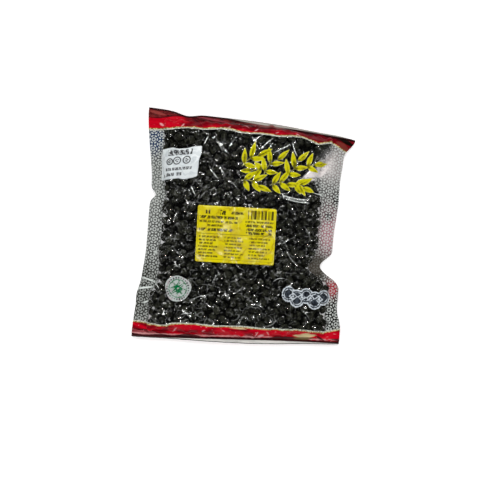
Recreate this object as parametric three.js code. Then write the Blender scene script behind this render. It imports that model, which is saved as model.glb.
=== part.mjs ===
// A vacuum-packed clear bag of fermented black beans, lying on its back with its front up.
// Millimetres, +Z up. The bag's length runs along Y, its width along X, and the surface it lies on is Z = 0.
// The vacuum draws two sheets of film round a block of beans. Past the block the sheets lie on each other as a
// thin fin: narrow along both sides, and a wider heat-sealed band across the top and the bottom.
import * as THREE from "three";

const { lerp, clamp, smoothstep } = THREE.MathUtils;

// ---- Driving dimensions ----
const THICKNESS = 22.5; // of the bean block at its middle
const FIN_ROOT_HEIGHT = 10; // where the two sheets meet, round the block
const FIN_SLOPE = 0.38; // fall of the fins, from their root outward
const FIN_WAVE = 1.2; // height of the slow waves along the fins
const FIN_WAVE_RUN = 7; // the waves reach full height this far out
const FIN_THICKNESS = 0.8;
const WALL_RUN = 9; // how far in the block's rounded side reaches, in plan
const CROWN_FALL = 1.6; // how much lower the block's front is at its corners than at its middle

const WAIST_LEFT = 88.3; // the side edges from the bag's centre line, where the vacuum has drawn them in
const WAIST_RIGHT = 81.3;
const BLOCK_LEFT = 76; // the block's own sides
const BLOCK_RIGHT = 67;
const TOP_EDGE = 98.6; // the top and bottom edges, on the bag's centre line
const BOTTOM_EDGE = 99.5;
const BLOCK_TOP = 96;
const BLOCK_BOTTOM = 94.6;

const BEAN_PITCH = 8.6; // between the lumps that beans raise in the film
const BEAN_JITTER = 1.7;
const BEAN_HALF_LENGTH = 5.2;
const BEAN_HALF_WIDTH = 3.9;
const BEAN_RELIEF = 2.1; // depth of the dips between them
const SEED = 20714;

const LABEL_GAP = 0.3; // between a sticker and the film under it
const STICKER_REACH = 1.6; // a sticker rests on the highest film within this far, and bridges what is lower
const LABEL = {
  name: "yellow_label",
  width: 70.5,
  height: 50.5,
  x: -7.7,
  y: -3.8,
  turn: 1.4,
  thickness: 0.5,
  cut: 0.8, // how far each rounded corner is drawn in
  lean: 0,
  narrowing: 0,
  columns: 16,
  rows: 12,
};
const STICKER = {
  name: "price_sticker",
  width: 34.6,
  height: 28,
  x: -62.5,
  y: 56.4,
  turn: 4.5,
  thickness: 0.5,
  cut: 0.6,
  lean: 4.8, // in degrees, out of square each way, as the fold of the film has pulled it
  narrowing: 0.06, // and how much narrower its lower edge is than its middle
  columns: 14,
  rows: 8,
};
const STICKER_MARGIN = 4; // the film is smooth under a sticker, and this far round it

// ---- The mesh's stations across the bag ----
const FIN_STEPS = 3;
const WALL_STEPS = 4;
const WIDTH_STEPS = 40;
const LENGTH_STEPS = 48;

// ---- Outlines ----
const degrees = (angle) => (angle * Math.PI) / 180;
const bell = (value, centre, spread) =>
  Math.exp(-((value - centre) ** 2) / (2 * spread ** 2));
const hollow = (value, centre, half) =>
  Math.abs(value - centre) < half
    ? (1 + Math.cos((Math.PI * (value - centre)) / half)) / 2
    : 0;

// The side edges flare out to the sealed bands, and each has a notch where a fold of film is drawn in.
function leftEdge(y) {
  const topFlare = 7.9 * smoothstep(y, 35, 105);
  const bottomFlare = 7.2 * smoothstep(-y, 15, 100);
  const foldStep = 1.2 * bell(y, -64, 5);
  return -WAIST_LEFT - topFlare - bottomFlare - foldStep + 4.8 * bell(y, 27.5, 3);
}

function rightEdge(y) {
  const upperFlare = 2.2 * smoothstep(y, 0, 36) + 1.1 * smoothstep(y, 50, 72);
  const cornerFlare = 9.8 * smoothstep(y, 74.5, 91.5);
  const bulge = 8 * smoothstep(-y, 32, 45) + 4.6 * smoothstep(-y, 62, 82);
  return WAIST_RIGHT + upperFlare + cornerFlare + bulge - 10.4 * hollow(y, -25.5, 13.5);
}

// The top edge was cut askew, and has a shallow dip left of the middle.
const topEdge = (x) =>
  TOP_EDGE - 0.083 * x + 2.5 * hollow(x, 26, 72) - 3 * bell(x, -60, 7) +
  0.7 * bell(x, -22, 20) + 1.2 * bell(x, 82, 13);
const bottomEdge = (x) => -BOTTOM_EDGE + 0.042 * x - 2.3 * hollow(x, 5, 95);

const blockLeft = (y) =>
  -BLOCK_LEFT -
  4.5 * smoothstep(y, 30, 80) -
  5.2 * smoothstep(-y, 48, 64) +
  2.8 * bell(y, 28, 4) +
  1.5 * bell(y, -50, 6);
const blockRight = (y) =>
  BLOCK_RIGHT +
  6 * smoothstep(y, 66, 80) -
  4.6 * hollow(y, 54, 22) -
  6.5 * bell(y, -26, 7) +
  12.5 * smoothstep(-y, 30, 44);
const blockTop = (x) =>
  BLOCK_TOP + 1.2 * hollow(x, -5, 60) - 7 * smoothstep(x, 20, 78);
const blockBottom = (x) => -BLOCK_BOTTOM + 8 * smoothstep(x, 5, 80);

// ---- Heights ----
function rolling(seed) {
  let state = seed;
  return () => {
    state = (state + 0x6d2b79f5) >>> 0;
    let mixed = Math.imul(state ^ (state >>> 15), state | 1);
    mixed ^= mixed + Math.imul(mixed ^ (mixed >>> 7), mixed | 61);
    return ((mixed ^ (mixed >>> 14)) >>> 0) / 2 ** 32;
  };
}

const finWave = (x, y) =>
  FIN_WAVE * (Math.sin(x / 17 + 0.6) * Math.cos(y / 21) + 0.5 * Math.sin((x - y) / 9));

// How far outside the block a place is, in plan.
const beyondBlock = (x, y) =>
  Math.hypot(
    Math.max(0, blockLeft(y) - x, x - blockRight(y)),
    Math.max(0, blockBottom(x) - y, y - blockTop(x)),
  );

function finHeight(x, y) {
  const out = beyondBlock(x, y);
  return FIN_ROOT_HEIGHT - FIN_SLOPE * out + smoothstep(out, 0, FIN_WAVE_RUN) * finWave(x, y);
}

const crown = (x, y) =>
  THICKNESS -
  CROWN_FALL * ((x / 78) ** 4 + (y / 92) ** 4) -
  0.5 * (1 + Math.sin(x / 19 + 1.1) * Math.sin(y / 23 - 0.4));

// Beans in uneven rows, each shoved and turned at random.
function layBeans() {
  const random = rolling(SEED);
  const spread = (amount) => amount * (2 * random() - 1);
  const rowPitch = BEAN_PITCH * Math.sqrt(0.75);
  const rows = Math.ceil((BLOCK_TOP + BLOCK_BOTTOM) / rowPitch);
  const perRow = Math.ceil((BLOCK_LEFT + BLOCK_RIGHT + 4 * BEAN_PITCH) / BEAN_PITCH);
  const beans = [];
  for (let row = 0; row <= rows; row++)
    for (let i = 0; i <= perRow; i++)
      beans.push({
        x: -BLOCK_LEFT + (i - 2 + (row % 2) / 2) * BEAN_PITCH + spread(BEAN_JITTER),
        y: -BLOCK_BOTTOM + row * rowPitch + spread(BEAN_JITTER),
        turn: random() * Math.PI,
        height: 0.72 + 0.28 * random(),
      });
  return beans;
}
const beans = layBeans();

// A point in the frame of something that lies turned at a place on the bag.
function localPoint(x, y, place, turn) {
  const along = Math.cos(turn) * (x - place.x) + Math.sin(turn) * (y - place.y);
  const across = -Math.sin(turn) * (x - place.x) + Math.cos(turn) * (y - place.y);
  return { along, across };
}

// 1 over a sticker, and 0 from STICKER_MARGIN outside it.
function underSticker(x, y) {
  const cover = ({ along, across }, sticker) => {
    const outside = Math.max(
      Math.abs(along) - sticker.width / 2,
      Math.abs(across) - sticker.height / 2,
    );
    return 1 - smoothstep(outside, 1, STICKER_MARGIN);
  };
  return Math.max(
    ...[LABEL, STICKER].map((s) => cover(localPoint(x, y, s, degrees(s.turn)), s)),
  );
}

// How far the film lies below the block's envelope: nothing on top of a bean, BEAN_RELIEF between them.
function dip(x, y) {
  let raised = 0;
  for (const bean of beans) {
    if (Math.hypot(x - bean.x, y - bean.y) > BEAN_HALF_LENGTH) continue;
    const { along, across } = localPoint(x, y, bean, bean.turn);
    const share = (along / BEAN_HALF_LENGTH) ** 2 + (across / BEAN_HALF_WIDTH) ** 2;
    raised = Math.max(raised, bean.height * Math.sqrt(clamp(1 - share, 0, 1)));
  }
  return BEAN_RELIEF * (1 - Math.max(raised, underSticker(x, y)));
}

// rise is 0 on the fins, 1 on the block's front, and between them on its rounded side.
function frontHeight(x, y, rise) {
  const root = finHeight(x, y) + FIN_THICKNESS / 2;
  return root + rise * (crown(x, y) - dip(x, y) - root);
}

const backHeight = (x, y, rise) => (finHeight(x, y) - FIN_THICKNESS / 2) * (1 - rise);

// ---- Stations: how far out, or how far up the block's side, each line of the mesh lies ----
function stations(steps) {
  const low = [];
  for (let i = 0; i < FIN_STEPS; i++)
    low.push({ zone: "fin", share: 1 - i / FIN_STEPS, rise: 0 });
  for (let i = 0; i < WALL_STEPS; i++) {
    const angle = degrees((90 * i) / WALL_STEPS);
    low.push({ zone: "wall", share: 1 - Math.cos(angle), rise: Math.sin(angle) });
  }
  const middle = [];
  for (let i = 0; i <= steps; i++)
    middle.push({ zone: "front", share: i / steps, rise: 1 });
  const high = low.map((s) => ({ ...s, high: true })).reverse();
  return [...low, ...middle, ...high];
}
const columns = stations(WIDTH_STEPS);
const rows = stations(LENGTH_STEPS);

// Where a station lies between the bag's two edges, with the block's two sides between them.
function stationAt(station, lowEdge, lowBlock, highBlock, highEdge) {
  const [edge, block, inward] = station.high
    ? [highEdge, highBlock, -1]
    : [lowEdge, lowBlock, 1];
  if (station.zone === "fin") return lerp(block, edge, station.share);
  if (station.zone === "wall") return block + inward * WALL_RUN * station.share;
  return lerp(lowBlock + WALL_RUN, highBlock - WALL_RUN, station.share);
}

// The two sets of lines bend each other, so their crossing is found by going back and forth.
function crossing(column, row) {
  let x = 0;
  let y = 0;
  for (let i = 0; i < 6; i++) {
    x = stationAt(column, leftEdge(y), blockLeft(y), blockRight(y), rightEdge(y));
    y = stationAt(row, bottomEdge(x), blockBottom(x), blockTop(x), topEdge(x));
  }
  return { x, y };
}

// ---- Meshes ----
// Two faces over the same grid of points, joined by a rim.
class Shell {
  constructor(columnCount, rowCount) {
    this.columnCount = columnCount;
    this.rowCount = rowCount;
    this.positions = [];
    this.triangles = [];
  }

  addPoint(x, y, z) {
    return this.positions.push(x, y, z) / 3 - 1;
  }

  addGrid(pointAt) {
    const grid = [];
    for (let i = 0; i < this.columnCount; i++) {
      grid.push([]);
      for (let j = 0; j < this.rowCount; j++) grid[i].push(this.addPoint(...pointAt(i, j)));
    }
    return grid;
  }

  addQuad(a, b, c, d) {
    this.triangles.push(a, b, c, a, c, d);
  }

  // keep says which cells get their two triangles.
  addFace(grid, facesUp, keep = () => true) {
    for (let i = 0; i + 1 < this.columnCount; i++)
      for (let j = 0; j + 1 < this.rowCount; j++) {
        if (!keep(i, j)) continue;
        const ring = [grid[i][j], grid[i + 1][j], grid[i + 1][j + 1], grid[i][j + 1]];
        this.addQuad(...(facesUp ? ring : ring.reverse()));
      }
  }

  // The grid's border cells from one corner round to it again, inset by a number of cells, counter-clockwise.
  border(inset) {
    const [right, top] = [this.columnCount - 1 - inset, this.rowCount - 1 - inset];
    const ring = [];
    for (let i = inset; i < right; i++) ring.push([i, inset]);
    for (let j = inset; j < top; j++) ring.push([right, j]);
    for (let i = right; i > inset; i--) ring.push([i, top]);
    for (let j = top; j > inset; j--) ring.push([inset, j]);
    return ring;
  }

  addRim(front, back) {
    const ring = this.border(0);
    ring.forEach(([i, j], n) => {
      const [p, q] = ring[(n + 1) % ring.length];
      this.addQuad(back[i][j], back[p][q], front[p][q], front[i][j]);
    });
  }

  // One flat fan in place of the cells inside a border.
  addFlatBack(back, inset) {
    const middle = this.addPoint(0, 0, 0);
    const ring = this.border(inset).map(([i, j]) => back[i][j]);
    ring.forEach((p, n) => this.triangles.push(ring[(n + 1) % ring.length], p, middle));
  }

  geometry() {
    const made = new THREE.BufferGeometry();
    made.setAttribute("position", new THREE.Float32BufferAttribute(this.positions, 3));
    made.setIndex(this.triangles);
    made.computeVertexNormals();
    return made;
  }
}

function bagGeometry() {
  const shell = new Shell(columns.length, rows.length);
  const sheet = (heightAt) =>
    shell.addGrid((i, j) => {
      const { x, y } = crossing(columns[i], rows[j]);
      return [x, y, heightAt(x, y, columns[i].rise * rows[j].rise)];
    });
  const front = sheet(frontHeight);
  const back = sheet(backHeight);
  const inset = FIN_STEPS + WALL_STEPS;
  const inFlat = (i, count) => i >= inset && i < count - 1 - inset;
  shell.addFace(front, true);
  shell.addFace(back, false, (i, j) => !(inFlat(i, columns.length) && inFlat(j, rows.length)));
  shell.addFlatBack(back, inset);
  shell.addRim(front, back);
  return shell.geometry();
}

// The rise at any place, from how far in from the block's sides it lies.
function riseAt(x, y) {
  const climb = (inside) =>
    Math.sqrt(1 - (1 - clamp(inside / WALL_RUN, 0, 1)) ** 2);
  const across = Math.min(x - blockLeft(y), blockRight(y) - x);
  const along = Math.min(y - blockBottom(x), blockTop(x) - y);
  return climb(across) * climb(along);
}

const filmHeight = (x, y) => frontHeight(x, y, riseAt(x, y));

// A sticker bends with the block, and is stiff enough to bridge the turn at the block's foot.
function stickerHeight(x, y) {
  const around = [filmHeight(x, y)];
  for (let i = 0; i < 8; i++) {
    const [dx, dy] = [Math.cos(degrees(45 * i)), Math.sin(degrees(45 * i))];
    around.push(filmHeight(x + STICKER_REACH * dx, y + STICKER_REACH * dy));
  }
  return Math.max(...around) + LABEL_GAP;
}

function stickerGeometry(sticker) {
  const shell = new Shell(sticker.columns + 1, sticker.rows + 1);
  const [alongTurn, acrossTurn] = [sticker.lean, -sticker.lean].map((lean) =>
    degrees(sticker.turn + lean),
  );
  const sheet = (lift) =>
    shell.addGrid((i, j) => {
      const [u, v] = [(2 * i) / sticker.columns - 1, (2 * j) / sticker.rows - 1];
      const corner = Math.abs(u * v) === 1 ? sticker.cut : 0;
      const halfWidth = (sticker.width / 2) * (1 + sticker.narrowing * v);
      const along = u * halfWidth - Math.sign(u) * corner;
      const across = (v * sticker.height) / 2 - Math.sign(v) * corner;
      const x = sticker.x + Math.cos(alongTurn) * along - Math.sin(acrossTurn) * across;
      const y = sticker.y + Math.sin(alongTurn) * along + Math.cos(acrossTurn) * across;
      return [x, y, stickerHeight(x, y) + lift];
    });
  const front = sheet(sticker.thickness);
  const back = sheet(0);
  shell.addFace(front, true);
  shell.addFace(back, false);
  shell.addRim(front, back);
  return shell.geometry();
}

// ---- Finishes ----
const beansUnderFilm = new THREE.MeshStandardMaterial({
  color: 0x1d1a17,
  roughness: 0.3,
  metalness: 0,
});
const yellowPaper = new THREE.MeshStandardMaterial({
  color: 0xdccb22,
  roughness: 0.45,
  metalness: 0,
});
const whitePaper = new THREE.MeshStandardMaterial({
  color: 0xe4e8ea,
  roughness: 0.6,
  metalness: 0,
});

function named(name, geometry, material) {
  const mesh = new THREE.Mesh(geometry, material);
  mesh.name = name;
  return mesh;
}

// The outline isn't even, so the whole is set with the middle of its box over the origin.
const pack = new THREE.Group();
pack.add(
  named("bag", bagGeometry(), beansUnderFilm),
  named(LABEL.name, stickerGeometry(LABEL), yellowPaper),
  named(STICKER.name, stickerGeometry(STICKER), whitePaper),
);
const middle = new THREE.Box3().setFromObject(pack).getCenter(new THREE.Vector3());
pack.position.set(-middle.x, -middle.y, 0);

export default pack;
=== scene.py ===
"""A vacuum-packed clear bag of fermented black beans, lying on its back.

Everything is worked out in millimetres in the bag's own frame: +X across, +Y along to the top band, +Z up
from the surface it lies on. A mesh is turned to metres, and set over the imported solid, only when it is made.
"""

from __future__ import annotations

import logging
import math
from dataclasses import dataclass, field
from enum import Enum
from functools import reduce
from itertools import combinations
from types import MappingProxyType
from typing import Callable, Mapping, Union

import bpy
import numpy as np
from mathutils import Euler, Matrix, Vector

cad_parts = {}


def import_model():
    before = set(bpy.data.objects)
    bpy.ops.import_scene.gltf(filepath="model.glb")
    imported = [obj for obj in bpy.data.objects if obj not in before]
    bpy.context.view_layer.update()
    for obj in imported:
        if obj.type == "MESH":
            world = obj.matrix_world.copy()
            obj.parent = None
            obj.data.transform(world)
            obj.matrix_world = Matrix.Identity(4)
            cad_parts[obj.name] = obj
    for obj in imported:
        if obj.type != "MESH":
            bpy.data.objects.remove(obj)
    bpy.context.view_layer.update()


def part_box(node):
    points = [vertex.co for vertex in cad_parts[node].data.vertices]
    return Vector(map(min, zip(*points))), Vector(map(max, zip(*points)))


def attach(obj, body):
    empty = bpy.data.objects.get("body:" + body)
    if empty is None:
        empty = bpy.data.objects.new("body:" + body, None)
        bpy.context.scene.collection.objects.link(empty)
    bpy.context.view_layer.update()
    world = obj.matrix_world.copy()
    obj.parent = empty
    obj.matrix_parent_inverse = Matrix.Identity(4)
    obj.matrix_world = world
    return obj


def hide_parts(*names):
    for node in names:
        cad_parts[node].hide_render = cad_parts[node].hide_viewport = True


LOG = logging.getLogger("black_bean_bag")

MM = 0.001
BODY = "root"
BAG_NODE = "bag"
LABEL_NODE = "yellow_label"
STICKER_NODE = "price_sticker"

# A Grid holds a number, or a row of numbers, for each of many points. A Spot is a place or a size in plan.
Grid = np.ndarray
Spot = tuple[float, float]
Triple = tuple[float, float, float]
Colour = Triple
Socket = bpy.types.NodeSocket
Piece = bpy.types.Object
Material = bpy.types.Material
Number = Union[float, "Shade"]
Entries = Mapping[Union[str, int], object]
NOTHING: Entries = MappingProxyType({})


def srgb(red: int, green: int, blue: int) -> Colour:
    """Turn a colour as a screen shows it, 0 to 255, into the linear one that a shader takes."""
    shares = (value / 255 for value in (red, green, blue))
    return tuple(share / 12.92 if share <= 0.04045 else ((share + 0.055) / 1.055) ** 2.4 for share in shares)


# ---- Curves and fields over the bag's plan ----


def smoothstep(value: Grid, low: float, high: float) -> Grid:
    """Climb smoothly from 0 at low to 1 at high."""
    share = np.clip((value - low) / (high - low), 0, 1)
    return share * share * (3 - 2 * share)


def bell(value: Grid, centre: float, spread: float) -> Grid:
    """Rise to 1 at a centre, as a normal curve does."""
    return np.exp(-((value - centre) ** 2) / (2 * spread**2))


def hollow(value: Grid, centre: float, half: float) -> Grid:
    """Rise to 1 at a centre as one wave of a cosine, and stay 0 from half away from it."""
    wave = (1 + np.cos(np.pi * (value - centre) / half)) / 2
    return np.where(np.abs(value - centre) < half, wave, 0)


def mound(x: Grid, y: Grid, at: Spot, spread: Spot) -> Grid:
    """Rise to 1 at a place, more widely one way than the other."""
    return np.exp(-(((x - at[0]) / spread[0]) ** 2 + ((y - at[1]) / spread[1]) ** 2))


def sample(table: Grid, u: Grid, v: Grid, soft: bool = False) -> Grid:
    """Read a square table of values between its cells.

    Args:
        table: the values, by column and row.
        u: places over its columns.
        v: places over its rows.
        soft: whether the values ease from cell to cell, and don't run straight.

    Returns:
        The value at each place.
    """
    i, j = (np.clip(np.floor(way).astype(int), 0, len(table) - 2) for way in (u, v))
    s, t = u - i, v - j
    if soft:
        s, t = s * s * (3 - 2 * s), t * t * (3 - 2 * t)
    low = table[i, j] * (1 - s) + table[i + 1, j] * s
    high = table[i, j + 1] * (1 - s) + table[i + 1, j + 1] * s
    return low * (1 - t) + high * t


def local_place(x: Grid, y: Grid, at: Spot, turn: float) -> tuple[Grid, Grid]:
    """Give points along and across something that lies turned at a place.

    Args:
        x, y: places across the bag and along it.
        at: the thing's own middle.
        turn: how far it is turned, in degrees, counter-clockwise.

    Returns:
        The places along it and across it.
    """
    cosine, sine = math.cos(math.radians(turn)), math.sin(math.radians(turn))
    return cosine * (x - at[0]) + sine * (y - at[1]), -sine * (x - at[0]) + cosine * (y - at[1])


@dataclass(frozen=True)
class SoftNoise:
    """A smooth random field over the bag's plan, the same on every run."""

    cell: float
    seed: int
    reach: float = 130.0

    def at(self, x: Grid, y: Grid) -> Grid:
        """Give the field's value at each place.

        Args:
            x, y: places across the bag and along it.

        Returns:
            The values, from -1 to 1.
        """
        count = int(2 * self.reach / self.cell) + 4
        lattice = np.random.default_rng(self.seed).uniform(-1, 1, (count, count))
        return sample(lattice, (x + self.reach) / self.cell + 1, (y + self.reach) / self.cell + 1, True)


# ---- The bag's form ----


@dataclass(frozen=True)
class BagForm:
    """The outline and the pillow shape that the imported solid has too."""

    thickness: float = 22.5
    fin_root: float = 10.0
    fin_slope: float = 0.38
    fin_wave: float = 1.2
    fin_wave_run: float = 7.0
    wall_run: float = 9.0
    crown_fall: float = 1.6
    waist_left: float = 88.3
    waist_right: float = 81.3
    side_left: float = 76.0
    side_right: float = 67.0
    top: float = 98.6
    bottom: float = 99.5
    side_top: float = 96.0
    side_bottom: float = 94.6

    def left_edge(self, y: Grid) -> Grid:
        """Give the bag's left edge, with its flares and the notch of a fold."""
        flare = 7.9 * smoothstep(y, 35, 105) + 7.2 * smoothstep(-y, 15, 100)
        return -self.waist_left - flare - 1.2 * bell(y, -64, 5) + 4.8 * bell(y, 27.5, 3)

    def right_edge(self, y: Grid) -> Grid:
        """Give the bag's right edge, with its drawn-in fold, bulge and corner.

        Args:
            y: places along the bag.

        Returns:
            How far to the right the edge is at each.
        """
        upper = 2.2 * smoothstep(y, 0, 36) + 1.1 * smoothstep(y, 50, 72)
        corner = 9.8 * smoothstep(y, 74.5, 91.5)
        bulge = 8 * smoothstep(-y, 32, 45) + 4.6 * smoothstep(-y, 62, 82)
        return self.waist_right + upper + corner + bulge - 10.4 * hollow(y, -25.5, 13.5)

    def top_edge(self, x: Grid) -> Grid:
        """Give the bag's top edge, which was cut askew."""
        lifted = 2.5 * hollow(x, 26, 72) + 0.7 * bell(x, -22, 20) + 1.2 * bell(x, 82, 13)
        return self.top - 0.083 * x + lifted - 3 * bell(x, -60, 7)

    def bottom_edge(self, x: Grid) -> Grid:
        """Give the bag's bottom edge."""
        return -self.bottom + 0.042 * x - 2.3 * hollow(x, 5, 95)

    def block_left(self, y: Grid) -> Grid:
        """Give the left foot of the block of beans."""
        wider = 4.5 * smoothstep(y, 30, 80) + 5.2 * smoothstep(-y, 48, 64)
        return -self.side_left - wider + 2.8 * bell(y, 28, 4) + 1.5 * bell(y, -50, 6)

    def block_right(self, y: Grid) -> Grid:
        """Give the right foot of the block of beans."""
        wider = 6 * smoothstep(y, 66, 80) + 12.5 * smoothstep(-y, 30, 44)
        return self.side_right + wider - 4.6 * hollow(y, 54, 22) - 6.5 * bell(y, -26, 7)

    def block_top(self, x: Grid) -> Grid:
        """Give the top foot of the block of beans."""
        return self.side_top + 1.2 * hollow(x, -5, 60) - 7 * smoothstep(x, 20, 78)

    def block_bottom(self, x: Grid) -> Grid:
        """Give the bottom foot of the block of beans."""
        return -self.side_bottom + 8 * smoothstep(x, 5, 80)

    def beyond(self, x: Grid, y: Grid) -> Grid:
        """Measure how far outside the block a place is."""
        across = np.maximum(0, np.maximum(self.block_left(y) - x, x - self.block_right(y)))
        return np.hypot(across, np.maximum(0, np.maximum(self.block_bottom(x) - y, y - self.block_top(x))))

    def inside(self, x: Grid, y: Grid) -> Grid:
        """Measure how far in from the bag's outer edge a place is."""
        across = np.minimum(x - self.left_edge(y), self.right_edge(y) - x)
        return np.minimum(across, np.minimum(y - self.bottom_edge(x), self.top_edge(x) - y))

    def fin_height(self, x: Grid, y: Grid) -> Grid:
        """Work out where the two sheets lie on each other.

        Args:
            x, y: places across the bag and along it.

        Returns:
            The fin's height at each.
        """
        out = self.beyond(x, y)
        wave = np.sin(x / 17 + 0.6) * np.cos(y / 21) + 0.5 * np.sin((x - y) / 9)
        rolling = smoothstep(out, 0, self.fin_wave_run) * self.fin_wave * wave
        return self.fin_root - self.fin_slope * out + rolling

    def crown(self, x: Grid, y: Grid) -> Grid:
        """Work out how high the beans reach."""
        rolling = 0.5 * (1 + np.sin(x / 19 + 1.1) * np.sin(y / 23 - 0.4))
        return self.thickness - self.crown_fall * ((x / 78) ** 4 + (y / 92) ** 4) - rolling


@dataclass(frozen=True)
class Stations:
    """The lines of a sheet's grid one way, each a blend of the bag's edges and the block's sides."""

    blend: Grid
    inset: Grid
    rise: Grid

    @classmethod
    def lay(cls, fin: int, wall: int, face: int, wall_run: float) -> "Stations":
        """Lay the lines from one edge of the bag to the other.

        Args:
            fin: steps over each fin.
            wall: steps up each rounded side of the block.
            face: steps over the block's face.
            wall_run: how far in a rounded side reaches.

        Returns:
            The stations.
        """
        low: list[tuple[list[float], float, float]] = []
        for i in range(fin):
            low.append(([1 - i / fin, i / fin, 0, 0], 0.0, 0.0))
        for i in range(wall):
            angle = math.pi / 2 * i / wall
            low.append(([0, 1, 0, 0], wall_run * (1 - math.cos(angle)), math.sin(angle)))
        middle = [
            ([0, 1 - i / face, i / face, 0], wall_run * (1 - 2 * i / face), 1.0) for i in range(face + 1)
        ]
        high = [(weights[::-1], -inset, rise) for weights, inset, rise in reversed(low)]
        rows = low + middle + high
        return cls(
            np.array([row[0] for row in rows]),
            np.array([row[1] for row in rows]),
            np.array([row[2] for row in rows]),
        )

    def place(self, *lines: Grid) -> Grid:
        """Place the stations between the low edge, the low side, the high side and the high edge."""
        return sum(self.blend[:, k, None] * line for k, line in enumerate(lines)) + self.inset[:, None]


class Side(Enum):
    """Which of the bag's two sheets."""

    FRONT = 1
    BACK = -1


@dataclass
class Lattice:
    """The grid of points of one sheet of film, before the beans dent it."""

    form: BagForm
    side: Side
    spacing: float = 0.7
    wall_arc: float = 17.0
    fin_arc: float = 14.0
    end_share: float = 0.8
    gap: float = 0.25
    closing: float = 4.0
    rounds: int = 7
    place: Grid = field(init=False)
    normal: Grid = field(init=False)
    rise: Grid = field(init=False)

    def __post_init__(self) -> None:
        """Work out the points and their normals."""
        form = self.form
        fin, wall = round(self.fin_arc / self.spacing), round(self.wall_arc / self.spacing)
        face_wide = round((form.side_left + form.side_right - 2 * form.wall_run) / self.spacing)
        face_long = round((form.side_top + form.side_bottom - 2 * form.wall_run) / self.spacing)
        columns = Stations.lay(fin, wall, face_wide, form.wall_run)
        rows = Stations.lay(round(fin * self.end_share), wall, face_long, form.wall_run)
        x = np.zeros((len(columns.rise), len(rows.rise)))
        y = np.zeros_like(x)
        for _ in range(self.rounds):
            x = columns.place(form.left_edge(y), form.block_left(y), form.block_right(y), form.right_edge(y))
            ends = form.bottom_edge, form.block_bottom, form.block_top, form.top_edge
            y = rows.place(*(end(x.T) for end in ends)).T
        self.rise = columns.rise[:, None] * rows.rise[None, :]
        apart = self.gap / 2 * smoothstep(form.inside(x, y), 0, self.closing)
        fin_height = form.fin_height(x, y)
        if self.side is Side.FRONT:
            root = fin_height + apart
            z = root + self.rise * (form.crown(x, y) - root)
        else:
            z = (fin_height - apart) * (1 - self.rise)
        self.place = np.stack([x, y, z], axis=-1)
        self.normal = self.normals_of(self.place)

    def normals_of(self, place: Grid) -> Grid:
        """Give the outward normals of a grid of points."""
        made = np.cross(np.gradient(place, axis=0), np.gradient(place, axis=1)) * self.side.value
        return made / np.maximum(np.linalg.norm(made, axis=-1, keepdims=True), 1e-9)


# ---- Meshes ----


@dataclass(frozen=True)
class Workbench:
    """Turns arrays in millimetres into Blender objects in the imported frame."""

    shift: Spot

    def make(self, name: str, points: Grid, faces: Grid) -> Piece:
        """Make a smooth mesh object.

        Args:
            name: the piece's name.
            points: n x 3 places in the bag's frame, in millimetres.
            faces: m x 3 or m x 4 corners.

        Returns:
            The object, at the origin, with its place in its mesh.
        """
        moved = (points + np.array([*self.shift, 0.0])) * MM
        mesh = bpy.data.meshes.new(name)
        mesh.from_pydata(moved.tolist(), [], faces.tolist())
        mesh.polygons.foreach_set("use_smooth", np.full(len(faces), True))
        mesh.update()
        made = bpy.data.objects.new(name, mesh)
        bpy.context.scene.collection.objects.link(made)
        return made

    @staticmethod
    def note(piece: Piece, name: str, values: Grid) -> None:
        """Write a number, a vector or a colour on each of a piece's points.

        Args:
            piece: the piece.
            name: what the shader knows it by.
            values: one number, or three or four numbers in a row, for each point.
        """
        if values.ndim == 1:
            kind, key = "FLOAT", "value"
        else:
            kind, key = ("FLOAT_VECTOR", "vector") if values.shape[1] == 3 else ("FLOAT_COLOR", "color")
        layer = piece.data.attributes.new(name, kind, "POINT")
        layer.data.foreach_set(key, np.ascontiguousarray(values, dtype=np.float32).ravel())

    @staticmethod
    def grid_faces(columns: int, rows: int, upward: bool = True) -> Grid:
        """Give the four-cornered faces of a grid whose points are stored column by column.

        Args:
            columns: how many columns of points it has.
            rows: how many points each column has.
            upward: whether the faces look up.

        Returns:
            Each face's corners.
        """
        corner = (np.arange(columns - 1)[:, None] * rows + np.arange(rows - 1)[None, :]).ravel()
        ring = np.stack([corner, corner + rows, corner + rows + 1, corner + 1], axis=1)
        return ring if upward else ring[:, ::-1]

    @staticmethod
    def border(columns: int, rows: int) -> Grid:
        """Give the points round a grid's border, counter-clockwise."""
        index = np.arange(columns * rows).reshape(columns, rows)
        return np.concatenate([index[:-1, 0], index[-1, :-1], index[:0:-1, -1], index[0, :0:-1]])


# ---- Shader nodes ----


def maths(operation: str, turned: bool = False) -> Callable[..., "Shade"]:
    """Make the method of a Shade that adds one kind of Math node.

    Args:
        operation: the node's operation.
        turned: whether the other number comes first, as in 1 - mask.

    Returns:
        The method.
    """

    def add_node(shade: "Shade", *other: Number) -> "Shade":
        """Add the node over the Shade and the other number, where there is one."""
        return shade.sheet.math(operation, *((*other, shade) if turned else (shade, *other)))

    return add_node


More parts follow.
